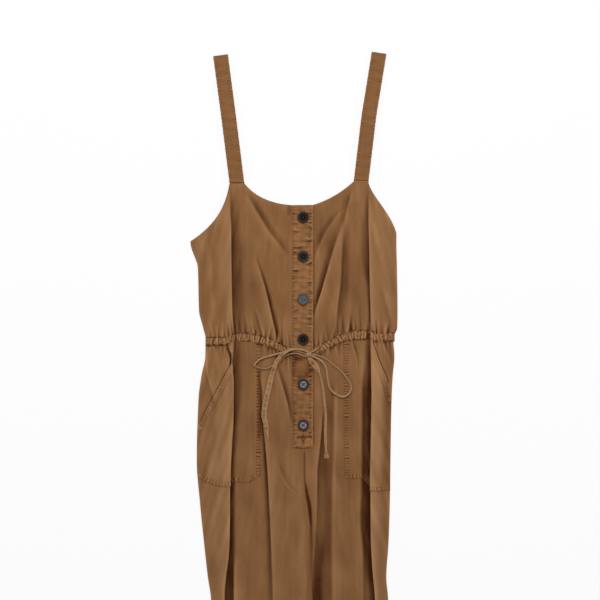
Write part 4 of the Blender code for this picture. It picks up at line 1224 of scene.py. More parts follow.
def casingSurface(side, x, v):
    # top of the casing at x, v across it from 0 at the bottom, with its tone: painted shade, painted highlight and
    # random tone
    x, v = spread(x, v)
    puff, tone = creased(side, x, v)
    channel = smooth((v - 0.04) / 0.22) * smooth((0.96 - v) / 0.22)
    wave = 0.4 * mm * unevenness(x, 0 * x, 26 * mm, 12)
    spot, reach, wider = casing[side + "Widest"]
    wider = wider * mm * bell(x - spot * mm, reach * mm, 4)
    height = garment["casingHeight"] + 1.2 * mm * (puff - 0.6) + wider
    y = along(waistLine, x) + (v - 0.5) * height + wave - 0.2 * wider
    base = frontSurface(x, y, gathered=0)
    rows = bell(v - 0.06, 0.04) + bell(v - 0.94, 0.04)
    base[..., 2] += casing["above"] + (0.7 * mm + casing["height"] * puff) * channel - 0.35 * mm * rows
    tone = 0.04 * channel + tone * (0.6 + 0.4 * channel) + 0.6 * paintedFoldShade(x, y)
    return base, np.maximum(tone + stitchGaps(side, x, v), -1.05)


casingEnds = {"right": (-170.5, -28), "left": (18.5, 158.8)}
for half in ("right", "left"):
    low, high = (value * mm for value in casingEnds[half])
    x = np.linspace(low, high, round((high - low) / casing["step"]) + 1)[None, :]
    v = np.linspace(0, 1, casing["rows"] + 1)[:, None]
    points, tone = casingSurface(half, x, v)
    x, v = np.broadcast_arrays(x, v)
    addCloth(f"frontCasing_{half}", f"front_casing_{half}", points, x, v * garment["casingHeight"],
             tone, 0.05 + 0.05 * unevenness(x, v * 0.02, 24 * mm, 18), casing["cloth"])
    lines = []
    for share in (casing["stitched"], 1 - casing["stitched"]):
        run = np.linspace(low + mm, high - mm, 160)
        spots = casingSurface(half, run, np.full(run.shape, share))[0]
        lines.append((spots + (0, 0, 0.1 * mm), np.tile((0, 0, 1.0), (len(spots), 1))))
    addStitches(f"casingStitches_{half}", lines, seamThreadMaterial, length=2.3 * mm, gap=0.9 * mm, radius=0.3 * mm,
                seed=6)
print("casing made")


# Placket with its folded edge, creases and stitching

placket = {
    "cloth": 1.6 * mm, "left": -18.3, "right": 17, "bottom": -187.2, "top": 235.6, "height": 8.75 * mm, "seed": 9,
    "stitchLeft": -16.4, "stitchRight": 12.4, "boxTop": -171.5, "starY": -176.6,
    "underX": (-14, 14), "underY": (-184, 233), "underHeight": 5.1 * mm,
    # side it starts from, y, length, darkness of painted shade, width and slant of the plainest creases
    "creases": (
        (1, 221.3, 12, 1, 1.3, 0), (1, 205, 9, 0.8, 1.2, 0), (1, 195, 15, 0.55, 3, 0.25), (1, 173.6, 14, 0.6, 2.2, 0),
        (1, 135, 9, 0.9, 1.4, -0.35), (-1, 189, 14, 1, 1.7, 0), (-1, 160.7, 15, 0.9, 1.6, 0.05),
        (-1, 121, 13, 0.8, 1.5, 0), (1, 84, 8, 0.7, 1.3, 0.2), (-1, 52, 10, 0.6, 1.6, 0), (1, 38, 12, 0.6, 1.8, -0.1),
        (-1, -52, 10, 0.5, 1.5, 0), (1, -95, 12, 0.6, 1.5, 0.1), (1, -118, 9, 0.7, 1.3, 0), (-1, -130, 10, 0.5, 1.5, 0),
    ),
}
buttonYs = (214.5, 146, 71, 1, -77.5, -149)


def placketCreases():
    chance = np.random.default_rng(placket["seed"])
    found = list(placket["creases"])
    for y in np.arange(placket["bottom"] + 18, placket["top"] - 8, 6.5):
        for edge in (-1, 1):
            if chance.uniform() < 0.75:
                found.append((edge, y + chance.uniform(-3, 3), chance.uniform(3.5, 9), chance.uniform(0.25, 0.75),
                              chance.uniform(0.8, 1.5), chance.uniform(-0.35, 0.35)))
    return found


creaseList = placketCreases()


def placketSurface(x, y, dressed=False):
    x, y = spread(x, y)
    low, high = placket["left"] * mm, placket["right"] * mm
    height = np.full(x.shape, placket["height"])
    tone = np.zeros(x.shape)
    for edge, spot, length, dark, width, slant in creaseList:
        fromEdge = ((x - low) if edge < 0 else (high - x)) - mm
        across = (y - spot * mm - slant * fromEdge) / (width * mm)
        fade = (1 - smooth(fromEdge / (length * mm) - 0.4)) * smooth(fromEdge / (1.5 * mm) + 0.6)
        groove = bell(across, 1)
        height = height - dark * 0.8 * mm * groove * fade
        height = height + dark * 0.4 * mm * bell(across - 1.9, 1) * fade
        # painted shade in each crease and a painted highlight beside it
        tone = tone - 1.05 * dark * groove * fade
        tone = tone + 0.6 * dark * bell(across - 2, 1) * fade
    for line, period, seed in ((placket["stitchLeft"] * mm, 5.2, 51), (placket["stitchRight"] * mm, 6.1, 52)):
        ripple = pucker(np.maximum(np.abs(x - line) - 0.6 * mm, 0), y, 1, 3.2 * mm, period * mm, seed)
        height = height + 0.22 * mm * ripple - 0.25 * mm * bell(x - line, 0.8 * mm)
        # painted highlight on the puckers' tops and painted shade between them
        tone = tone + np.where(ripple > 0, 0.5, 0.65) * ripple
    height = height + 0.25 * mm * unevenness(x, y, 30 * mm, 55)
    height = height + 0.5 * mm * smooth((x - 14.5 * mm) / (3 * mm))
    height = height - 0.9 * mm * (1 - smooth((x - low) / (2.2 * mm)))
    box = 1 - smooth((y - placket["boxTop"] * mm) / (1.5 * mm))
    height = height + 0.5 * mm * box
    for spot in buttonYs:
        near = np.hypot(x - 0.5 * mm, y - spot * mm)
        height = np.minimum(height, placket["height"] + 0.15 * mm + 0.4 * mm * smooth((near - 8 * mm) / (6 * mm)))
        # painted shade on the cloth round each button
        tone = tone - 0.5 * (1 - smooth((near - 9 * mm) / (3.6 * mm)))
    points = np.stack([x, y, height], -1)
    if not dressed:
        return points
    # the boxed end: a star of three dark rays, dashes below it, a fold of painted shade over it with a painted
    # highlight above it, and a bar down the middle
    dressedBox = 0.45 * unevenness(x, y * 1.4, 6 * mm, 59) + 0.02
    for lean in (-0.9, 0, 0.9):
        ray = (x - 0.6 * mm - lean * (y - placket["starY"] * mm)) / math.hypot(1, lean)
        reach = bell(y - placket["starY"] * mm, 5.2 * mm, 4)
        dressedBox = dressedBox - 0.7 * bell(ray, 0.95 * mm) * reach
    dashes = 0.75 + 0.45 * unevenness(x, 0 * x, 4.4 * mm, 60)
    dressedBox = dressedBox - dashes * bell(y + 185.6 * mm, 1.3 * mm) * (np.abs(x) < 15 * mm)
    tone = tone * (1 - box) + dressedBox * box
    tone = tone - 1.25 * bell(y + 170.6 * mm, 1.9 * mm) * smooth((15.5 * mm - np.abs(x - mm)) / (2 * mm))
    tone = tone + 0.3 * bell(y + 167.4 * mm, 1.5 * mm)
    # a painted shadow under the bow, a little darker towards the bottom, and paler along the right edge
    tone = tone - 0.75 * smooth((-18 * mm - y) / (8 * mm)) * (1 - smooth((-50 * mm - y) / (25 * mm)))
    tone = tone - 0.1 * smooth((-40 * mm - y) / (40 * mm)) + 0.3 * smooth((x - 14.6 * mm) / (1.5 * mm))
    tone = tone - 0.35 * bell(x - 0.6 * mm, 0.9 * mm) * between(y, -178, -158, 3)
    patches = unevenness(x, y * 1.6, 14 * mm, 56)
    rub = 0.14 + 0.24 * unevenness(x, y, 38 * mm, 57) + 0.3 * box
    return points, np.clip(tone - 0.06 + 0.26 * patches, -1.05, 1), np.clip(rub, 0, 1)


x = np.linspace(placket["left"], placket["right"], 43)[None, :] * mm
y = np.linspace(placket["bottom"], placket["top"], 430)[:, None] * mm
points, tone, rub = placketSurface(x, y, dressed=True)
x, y = np.broadcast_arrays(x, y)
narrow = 2.6 * mm * smooth((-60 * mm - y) / (90 * mm))
sag = 1.4 * mm * (1 - (x / (18 * mm)) ** 2) * (1 - smooth((y + 187 * mm) / (9 * mm)))
points[..., 1] -= sag
wave = 0.25 * mm * unevenness(y, 0 * y, 21 * mm, 58)
points[..., 0] += narrow * smooth(-x / (18 * mm)) + wave * smooth(np.abs(x) / (18 * mm))
addCloth("buttonPlacket", "button_placket", points, x, y, tone, rub, placket["cloth"])

x = np.linspace(*placket["underX"], 15)[None, :] * mm
y = np.linspace(*placket["underY"], 60)[:, None] * mm
x, y = np.broadcast_arrays(x, y)
points = np.stack([x, y, placket["underHeight"] + 0.1 * mm * unevenness(x, y, 30 * mm, 61)], -1)
addCloth("underPlacket", "under_placket", points, x, y, 0 * x, 0 * x)

lines = []
for x in (placket["stitchLeft"], placket["stitchRight"]):
    run = np.linspace(placket["boxTop"] + 2, placket["top"] - 2, 200) * mm
    lines.append(lineOn(placketSurface, np.full(run.shape, x * mm), run))
topLines = (((neckRows[0], 234), (neckRows[0], 219)),
            ((neckRows[1], 233), (neckRows[1], 220.6), (-18.9, 220.6)))
lines += [stitchedOn(frontSurface, ends) for ends in topLines]
lines.append(stitchedOn(placketSurface, ((-17, 221), (13, 221))))
addStitches("placketStitches", lines, seamThreadMaterial, length=2.4 * mm, radius=0.3 * mm, seed=13)

boxLines = []
chance = np.random.default_rng(24)
for y in np.arange(-184.6, -174, 2.1):
    for low, high in ((-13.6, -2.2), (2.6, 13.4)):
        start, end = low + chance.uniform(0, 2.5), high - chance.uniform(0, 2.5)
        ends = ((start, y), (end, y + chance.uniform(-0.5, 0.7)))
        boxLines.append(stitchedOn(placketSurface, ends, height=0.2 * mm))
addStitches("boxStitches", boxLines, paleThreadMaterial, length=2.4 * mm, gap=1.3 * mm, radius=0.42 * mm, seed=14)
starEnds = (((-2.6, -180.2), (3.6, -172.6)), ((3.8, -180), (-2.4, -172.8)), ((-3.6, -176.4), (4.6, -176.2)),
            ((0.6, -185), (0.6, -168.5)), ((-13, -186.6), (-4, -187.6)), ((4.5, -187.6), (13, -186.4)))
starLines = [stitchedOn(placketSurface, ends, height=0.3 * mm) for ends in starEnds]
addStitches("starStitches", starLines, seamThreadMaterial, length=2.6 * mm, gap=0.3 * mm, radius=0.5 * mm, seed=16)
print("placket made")


# Straps, each one strip that turns over at the shoulder and runs down underneath to the back

straps = {
    "right": ((-115.8, 274.6), (-129.8, 387), (-144.6, 499.6)),
    "left": ((101.95, 278.6), (115.6, 392.5), (133.5, 503.9)),
    "width": 25 * mm, "turn": 2.5 * mm, "base": 0.75 * mm, "front": 5.75 * mm, "cloth": 1.1 * mm,
    "stitchLine": 2.6 * mm, "overlap": 4 * mm, "turnRun": 8 * mm,
}


def strapCentre(points, travel):
    bottom, middle, top = (Vector(point) * mm for point in points)
    length = (middle - bottom).length + (top - middle).length
    share = travel / length
    first = bottom.lerp(middle, 2 * share)
    second = middle.lerp(top, 2 * share - 1)
    centre = first.lerp(second, float(smooth(share * 3 - 1)))
    run = (top - middle).normalized()
    square = Vector((run.y, -run.x)) * straps["width"] / 2
    level = Vector((straps["width"] / 2, 0))
    return centre, level.lerp(square, min(max(share, 0), 1)), length


def addStrap(side):
    points = straps[side]
    length = strapCentre(points, 0)[2]
    straight = length - straps["turn"] - 0.75 * mm
    overlap = straps["overlap"]
    places = np.concatenate([np.linspace(-overlap, overlap, 18)[:-1], np.linspace(overlap, straight, 170)])
    stations = [(travel, straps["front"], 0, 1, travel) for travel in places]
    for turn in np.linspace(0, math.pi, 12)[1:-1]:
        stations.append((straight + straps["turn"] * math.sin(turn),
                         straps["base"] + straps["turn"] * (1 + math.cos(turn)),
                         math.sin(turn), math.cos(turn), straight + straps["turnRun"] * turn / math.pi))
    reach = points[0][1] * mm - garment["backTopY"] - 1.5 * mm
    for travel in np.linspace(straight, -reach, 110):
        stations.append((travel, straps["base"], 0, -1, 2 * straight + straps["turnRun"] - travel))
    across = np.linspace(-1, 1, 25)
    grid = np.zeros((len(stations), len(across), 3))
    uv = np.zeros((len(stations), len(across), 2))
    tone = np.zeros(grid.shape[:2])
    rub = np.zeros(grid.shape[:2])
    for row, (travel, z, outX, outZ, run) in enumerate(stations):
        centre, half, _ = strapCentre(points, travel)
        if travel < 0:
            climb = (Vector(points[1]) - Vector(points[0])).normalized()
            centre = Vector(points[0]) * mm + climb * (travel / climb.y)
        fromEdge = (1 - np.abs(across)) * straps["width"] / 2
        seed = 71 if side == "right" else 72
        ripple = pucker(np.maximum(np.abs(fromEdge - straps["stitchLine"]) - 0.6 * mm, 0),
                        np.full(across.shape, run) + 3 * mm * (across > 0), 1, 3.4 * mm, 4.9 * mm, seed)
        edgeWave = 1 + 0.012 * np.sin(run * 900 + across * 2) + 0.01 * np.sin(run * 430 + 1)
        raised = 0.5 * mm + 0.3 * mm * ripple - 0.2 * mm * bell(fromEdge - straps["stitchLine"], 0.8 * mm)
        raised = raised + 0.12 * mm * np.sin(run * 260 + seed) * (1 - across ** 2)
        climb = Vector((-half.y, half.x)).normalized()
        sunk = 0
        if outZ > 0.99:
            sunk = 0.9 * mm * (1 - float(smooth((travel + 1.5 * mm) / (3 * mm))))
        grid[row, :, 0] = centre.x + half.x * across * edgeWave + climb.x * outX * raised
        grid[row, :, 1] = centre.y + half.y * across * edgeWave + climb.y * outX * raised
        grid[row, :, 2] = z + raised * outZ - sunk + 0.55 * mm * (outZ > 0.99)
        uv[row, :, 0] = across * straps["width"] / 2
        uv[row, :, 1] = run
        # tone: painted highlight on the puckers' tops and painted shade between them, a dark band at the seam on the
        # bodice, and random tone
        seamDark = 1.15 * math.exp(-((travel - 0.4 * mm) / (0.85 * mm)) ** 2) * (outZ > 0.99)
        sheared = 0.12 * unevenness(across * 3 * mm, np.full(across.shape, run), 11 * mm, 74)
        tone[row] = 0.4 * np.clip(ripple, 0, 1) - 0.6 * np.clip(-ripple, 0, 1) - 0.1 - seamDark + sheared
        rub[row] = 0.16 * (1 - smooth((fromEdge - 2 * mm) / (3 * mm)))
    grid[..., 2] = np.maximum(grid[..., 2], 0.05 * mm)
    addCloth(f"shoulderStrap_{side}", f"strap_{side}", grid, uv[..., 0], uv[..., 1], tone, rub, straps["cloth"])
    normals = gridNormals(grid)
    lines = []
    for column in (3, 21):
        for rows in (slice(18, 184), slice(200, 304)):
            lines.append((grid[rows, column] + normals[rows, column] * 0.2 * mm, normals[rows, column]))
    addStitches(f"strapStitches_{side}", lines, threadMaterial, length=2.5 * mm, radius=0.3 * mm, seed=17)


for half in ("right", "left"):
    addStrap(half)
print("straps made")


# Back pieces, which lie flat underneath

backLie = 1.35 * mm
backTopLine = (
    (-197, 171), (-168, 189), (-145, 194), (146, 194), (153, 197.5), (158, 198.5), (162, 194.5), (164.5, 184))
# y, x of the trough's middle, depth, half width
backTroughs = (
    ((190, -96, 0.4, 14), (100, -84, 1.6, 18), (10, -70, 1.2, 12)),
    ((190, 88, 0.4, 14), (90, 70, 1.6, 20), (10, 64, 1.2, 12)),
    ((190, -6, 0.2, 14), (70, 4, 1.2, 18), (10, 6, 1, 12)),
    ((-10, -112, 0.8, 12), (-160, -104, 1.8, 22), (-420, -98, 1.6, 22), (-930, -92, 0.4, 18)),
    ((-10, -52, 1, 10), (-120, -58, 1.5, 18), (-330, -60, 1, 18), (-600, -62, 0.2, 18)),
    ((-10, 50, 1, 10), (-140, 62, 1.5, 20), (-360, 72, 1.4, 20), (-900, 78, 0.3, 18)),
    ((-10, 104, 0.8, 12), (-180, 108, 1.6, 18), (-400, 112, 1.2, 18), (-700, 110, 0.2, 14)),
)
# the back's waist seam: x where it starts, its run, and its y at both ends
backSeam = {"start": -172, "run": 332, "low": -2, "high": 5.4}


def backWaist(x, part):
    share = (x - backSeam["start"] * mm) / (backSeam["run"] * mm)
    return (backSeam["low"] + (backSeam["high"] - backSeam["low"]) * share) * mm + part * garment["casingHeight"] / 2


def backHeight(x, y, calm):
    lift = 0.12 * mm * unevenness(x, y, 40 * mm, 81)
    for rows in backTroughs:
        line, depth, width = (along(rows, y, column) for column in (1, 2, 3))
        inside = (y > rows[-1][0] * mm) & (y < rows[0][0] * mm + 8 * mm)
        lift = lift + depth * bell(x - line, width) * inside
    return backLie + np.maximum(lift, 0) * calm


def addBack(name, node, guides, count, low, high, rowShares, edge=None):
    x, y = panelGrid(guides, (count,), low, high, rowShares)
    inset = np.minimum(np.abs(x - x[:, :1]), np.abs(x - x[:, -1:]))
    ends = np.minimum(y - y[:1], y[-1:] - y)
    calm = smooth(inset / (14 * mm)) * smooth(ends / (6 * mm))
    z = backHeight(x, y, calm)
    if edge == "hem":
        hem = y - garment["hemY"]
        z = z - 0.25 * mm * bell(hem - garment["hemDepth"], 1.2 * mm)
    points = np.stack([x, y, z], -1)
    # tone: paler in the troughs and darker on the ridges, uneven at random, and a painted highlight on a strip by the
    # left side edge near the top
    tone = 0.3 * hollowness(points) + 0.08 * unevenness(x, y, 90 * mm, 83)
    tone = tone + 0.75 * between(y, 112, 260) * smooth((x - 152 * mm) / (3 * mm))
    rub = 0.2 * (1 - smooth(inset / (4 * mm)))
    addCloth(name, node, points, x, y, tone, rub)


backTop = np.array(backTopLine) * mm
addBack(
    "backBodice", "back_bodice", (lambda y: sideEdge(y, "right"), lambda y: sideEdge(y, "left")), 120,
    lambda x: backWaist(x, 1) - 1.5 * mm, lambda x: np.interp(x, backTop[:, 0], backTop[:, 1]),
    np.linspace(0, 1, 71))
for half in ("right", "left"):
    addBack(
        f"trouserBack_{half}", f"trouser_back_{half}", edgeLines(half), 70,
        lambda x: np.full(np.shape(x), garment["hemY"]), lambda x: backWaist(x, -1) + 1.5 * mm,
        np.linspace(0, 1, 121), edge="hem")

x = np.linspace(-169.8, 160.5, 400)[None, :] * mm
v = np.linspace(0, 1, 15)[:, None]
x, v = np.broadcast_arrays(x, v)
edges = np.cumsum(np.random.default_rng(47).uniform(6, 13, 50)) * mm - 176 * mm
edges = edges[edges < 166 * mm]
closest = np.min(np.abs(x[..., None] - edges), axis=-1)
crease = bell(closest, 1 * mm)
bulge = 1 - 0.8 * bell(closest, 1.8 * mm)
channel = smooth((v - 0.04) / 0.2) * smooth((0.96 - v) / 0.2)
y = backWaist(x, 0) + (v - 0.5) * garment["casingHeight"]
points = np.stack([x, y, 1.9 * mm - 0.7 * mm * bulge * channel], -1)
# tone: painted shade in the creases and a painted highlight on the bulges between them, which also rub a little more
addCloth("backCasing", "back_casing", points, x, y, 0.3 * (bulge - 0.7) - 0.6 * crease,
         0.3 + 0.1 * bulge, casing["cloth"])
print("back made")


# Hems of the legs

hemLines = []
stitchY = garment["hemY"] + garment["hemDepth"]
for half in ("right", "left"):
    low, high = sorted((float(sideEdge(stitchY, half)), float(middleEdge(stitchY, half))))
    run = np.linspace(low + 1.5 * mm, high - 1.5 * mm, 120)
    hemLines.append(lineOn(lambda x, y: frontSurface(x, y) + (0, 0, 0.4 * mm), run, np.full(run.shape, stitchY)))
addStitches("hemStitches", hemLines, threadMaterial, seed=19)
print("hems stitched")


# Buttons: one is turned and drilled, and the others are copies of it

button = {
    "radius": 9.5 * mm, "height": 3 * mm, "rim": 1.9 * mm, "dish": 0.75 * mm, "hole": 1.05 * mm,
    "holeGap": 4.4 * mm, "base": 9.1 * mm, "x": 0.5 * mm, "shine": 0.08,
    "backRim": 1.2 * mm, "backTaper": 0.97, "edge": 0.75 * mm, "crown": 0.12 * mm, "rounding": 0.28 * mm,
}


def pickFaces(thing, test):
    bpy.ops.object.mode_set(mode="OBJECT")
    for face in thing.data.polygons:
        face.select = test(face)
    bpy.ops.object.mode_set(mode="EDIT")


def makeButton():
    bpy.ops.object.select_all(action="DESELECT")
    bpy.context.tool_settings.mesh_select_mode = (False, False, True)
    bpy.ops.mesh.primitive_cylinder_add(vertices=48, radius=button["radius"], depth=button["height"],
                                        location=(0, 0, button["height"] / 2))
    thing = bpy.context.object
    thing.name = "buttonShape"
    bpy.ops.object.transform_apply(location=True, rotation=True, scale=True)
    bpy.ops.object.mode_set(mode="EDIT")
    pickFaces(thing, lambda face: face.normal.z < -0.9)
    bpy.ops.mesh.inset(thickness=button["backRim"])
    bpy.ops.transform.resize(value=(button["backTaper"], button["backTaper"], 1))
    pickFaces(thing, lambda face: face.normal.z > 0.9)
    bpy.ops.mesh.inset(thickness=button["edge"])
    bpy.ops.transform.translate(value=(0, 0, button["crown"]))
    bpy.ops.mesh.inset(thickness=button["rim"] * 0.55)
    bpy.ops.mesh.inset(thickness=0.8 * mm)
    bpy.ops.transform.translate(value=(0, 0, -button["dish"]))
    bpy.ops.mesh.inset(thickness=1.6 * mm)
    bpy.ops.transform.translate(value=(0, 0, -0.18 * mm))
    bpy.ops.object.mode_set(mode="OBJECT")
    soften = thing.modifiers.new("soften", "BEVEL")
    soften.width = button["rounding"]
    soften.segments = 3
    soften.limit_method = "ANGLE"
    soften.angle_limit = math.radians(22)
    bpy.ops.object.modifier_apply(modifier=soften.name)
    drills = []
    for across, up in ((-1, -1), (-1, 1), (1, -1), (1, 1)):
        bpy.ops.mesh.primitive_cylinder_add(
            vertices=18, radius=button["hole"], depth=4 * button["height"],
            location=(across * button["holeGap"] / 2, up * button["holeGap"] / 2, 0))
        drills.append(bpy.context.object)
    bpy.ops.object.select_all(action="DESELECT")
    for drill in drills:
        drill.select_set(True)
    bpy.context.view_layer.objects.active = drills[0]
    bpy.ops.object.join()
    drill = bpy.context.object
    bpy.ops.object.transform_apply(location=True, rotation=True, scale=True)
    bpy.ops.object.select_all(action="DESELECT")
    thing.select_set(True)
    bpy.context.view_layer.objects.active = thing
    holes = thing.modifiers.new("holes", "BOOLEAN")
    holes.object = drill
    holes.operation = "DIFFERENCE"
    holes.solver = "EXACT"
    bpy.ops.object.modifier_apply(modifier=holes.name)
    bpy.data.objects.remove(drill)
    bpy.ops.object.shade_smooth_by_angle(angle=math.radians(35))
    return thing


def makeButtonMaterial(name, rim, face, speckle, roughness, reach=(4.9, 6.2)):
    # a dark rim and a face of its own shade, clouded like cut horn
    material, tree, shader = newMaterial(name)
    away = addNode(tree, "ShaderNodeAttribute", (-900, 200), attribute_name="fromCentre")
    ramp = addNode(tree, "ShaderNodeMapRange", (-700, 200), interpolation_type="SMOOTHSTEP")
    ramp.inputs["From Min"].default_value, ramp.inputs["From Max"].default_value = reach
    tree.links.new(away.outputs["Fac"], ramp.inputs["Value"])
    place = addNode(tree, "ShaderNodeTexCoord", (-1100, -200))
    noise = addNoise(tree, (-900, -200), place.outputs["Object"], Scale=420, Detail=5)
    dark = tuple(value * (1 - speckle) for value in face[:3]) + (1,)
    pale = tuple(min(1, value * (1 + speckle)) for value in face[:3]) + (1,)
    clouded = mixColour(tree, noise, dark, pale, (-600, -150))
    colour = mixColour(tree, ramp.outputs[0], clouded, rim, (-350, 0))
    tree.links.new(colour, shader.inputs["Base Color"])
    setInputs(shader, Roughness=roughness, Specular_IOR_Level=button["shine"])
    return material


buttonMaterials = {
    "dark": makeButtonMaterial("darkButton", srgb(46, 34, 24), srgb(11, 11, 10), 0.4, 0.6, (4.4, 8.4)),
    "slate": makeButtonMaterial("slateButton", srgb(56, 44, 36), srgb(17, 17, 25), 0.5, 0.6, (4.4, 8.4)),
    "grey": makeButtonMaterial("greyButton", srgb(74, 68, 62), srgb(76, 84, 90), 0.8, 0.6, (5.5, 8.6)),
    # the two lowest buttons: a dark rim and a pale face, which is a painted reflection
    "pale": makeButtonMaterial("darkButtonPaintedReflection", srgb(56, 42, 40), srgb(122, 122, 133), 0.3, 0.6),
}
buttonKinds = ("dark", "slate", "grey", "dark", "pale", "pale")
buttonTurns = (8, -14, 22, 4, -4, 5)
# threads of the first three kinds are darker, with a painted highlight where the strands cross
threadKinds = {
    "dark": makeButtonMaterial("greenThread", srgb(14, 14, 13), srgb(96, 104, 102), 0.3, 0.85, (0.2, 1.1)),
    "slate": makeButtonMaterial("blueThread", srgb(20, 20, 27), srgb(84, 88, 104), 0.3, 0.85, (0.2, 1.1)),
    "grey": makeButtonMaterial("greyThread", srgb(66, 72, 78), srgb(112, 118, 122), 0.3, 0.85, (0.3, 1.6)),
    "pale": makePlainMaterial("darkThread", srgb(30, 28, 40), 0.85, 0.3),
}


def tubeRings(centres, ups, outline):
    # points of a tube whose outline, in (side, up) pairs, is set square to its line at every centre
    run = unit(np.gradient(centres, axis=0))
    sideways = unit(np.cross(run, ups))
    square = np.cross(sideways, run)
    return (centres[:, None, :] + outline[..., 0:1] * sideways[:, None, :] + outline[..., 1:2] * square[:, None, :])


def bandOutline(corners, power):
    # a rounded box from -1 to 1, across and tall
    corner = np.linspace(0, math.tau, corners + 1)[:-1]
    return (np.sign(wave(corner)) * np.abs(wave(corner)) ** power for wave in (np.cos, np.sin))


def tubeFaces(stations, corners, start=0, closed=False):
    faces = []
    last = stations if closed else stations - 1
    for station in range(last):
        after = (station + 1) % stations
        for corner in range(corners):
            follow = (corner + 1) % corners
            faces.append((start + station * corners + corner, start + station * corners + follow,
                          start + after * corners + follow, start + after * corners + corner))
    if not closed:
        faces.append(tuple(start + corner for corner in range(corners))[::-1])
        faces.append(tuple(start + (stations - 1) * corners + corner for corner in range(corners)))
    return faces


def facingOut(thing):
    shape = bmesh.new()
    shape.from_mesh(thing.data)
    bmesh.ops.recalc_face_normals(shape, faces=shape.faces)
    shape.to_mesh(thing.data)
    shape.free()


def placed(points, turn, x, y, z):
    angle = math.radians(turn)
    moved = points.copy()
    moved[:, 0] = points[:, 0] * math.cos(angle) - points[:, 1] * math.sin(angle) + x
    moved[:, 1] = points[:, 0] * math.sin(angle) + points[:, 1] * math.cos(angle) + y
    moved[:, 2] += z
    return moved


def addThread(name, x, y, z, turn, material):
    # two strands that cross over the face and go down the holes
    reach = button["holeGap"] / 2
    points = []
    faces = []
    corner = np.linspace(0, math.tau, 7)[:-1]
    for strand, (start, end) in enumerate((((-1, -1), (1, 1)), ((-1, 1), (1, -1)))):
        for offset in (-0.36, 0.36):
            share = np.linspace(0, 1, 13)
            lift = np.sin(share * math.pi) ** 0.45
            spots = np.stack([
                reach * (start[0] + (end[0] - start[0]) * share) + offset * mm * (end[1] - start[1]) / 2.8,
                reach * (start[1] + (end[1] - start[1]) * share) - offset * mm * (end[0] - start[0]) / 2.8,
                -1.6 * mm + lift * (2.0 + 0.45 * strand) * mm], -1)
            outline = np.stack([np.cos(corner), np.sin(corner)], -1) * 0.42 * mm
            rings = tubeRings(spots, np.tile((0, 0, 1.0), (len(spots), 1)), np.tile(outline, (len(spots), 1, 1)))
            faces += tubeFaces(len(spots), len(corner), len(points))
            points += rings.reshape(-1, 3).tolist()
    points = np.array(points)
    thread = addMesh(name, placed(points, turn, x, y, z), faces,
                     values={"fromCentre": np.hypot(points[:, 0], points[:, 1]) / mm})
    thread.data.materials.append(material)
    facingOut(thread)
    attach(thread, "root")


buttonShape = makeButton()
for number, (y, kind, turn) in enumerate(zip(buttonYs, buttonKinds, buttonTurns), start=1):
    mesh = buttonShape.data.copy()
    mesh.name = f"button_{number}"
    places = np.zeros(len(mesh.vertices) * 3)
    mesh.vertices.foreach_get("co", places)
    places = places.reshape(-1, 3)
    layer = mesh.attributes.new("fromCentre", "FLOAT", "POINT")
    layer.data.foreach_set("value", (np.hypot(places[:, 0], places[:, 1]) / mm).astype(np.float32))
    mesh.vertices.foreach_set("co", placed(places, turn, button["x"], y * mm, button["base"]).ravel())
    mesh.materials.clear()
    mesh.materials.append(buttonMaterials[kind])
    piece = bpy.data.objects.new(f"sewnButton_{number}", mesh)
    bpy.context.scene.collection.objects.link(piece)
    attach(piece, "root")
    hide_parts(f"button_{number}")
    top = button["base"] + button["height"] - button["dish"] + 0.1 * mm
    addThread(f"buttonThread_{number}", button["x"], y * mm, top, turn, threadKinds[kind])
bpy.data.objects.remove(buttonShape)

holeLines = []
for y in buttonYs:
    for across in (-0.8, 0.8):
        holeLines.append(stitchedOn(placketSurface, ((0.5 + across, y - 11.4), (0.5 + across, y + 11.4))))
    for up in (-11.6, 11.6):
        holeLines.append(stitchedOn(placketSurface, ((-1.4, y + up), (2.4, y + up)), height=0.35 * mm))
addStitches("buttonholes", holeLines, threadMaterial, length=1.5 * mm, gap=0.1 * mm, radius=0.42 * mm, seed=23)
print("buttons sewn on")


# Tie: two folded strips that leave the casing and meet in a bow

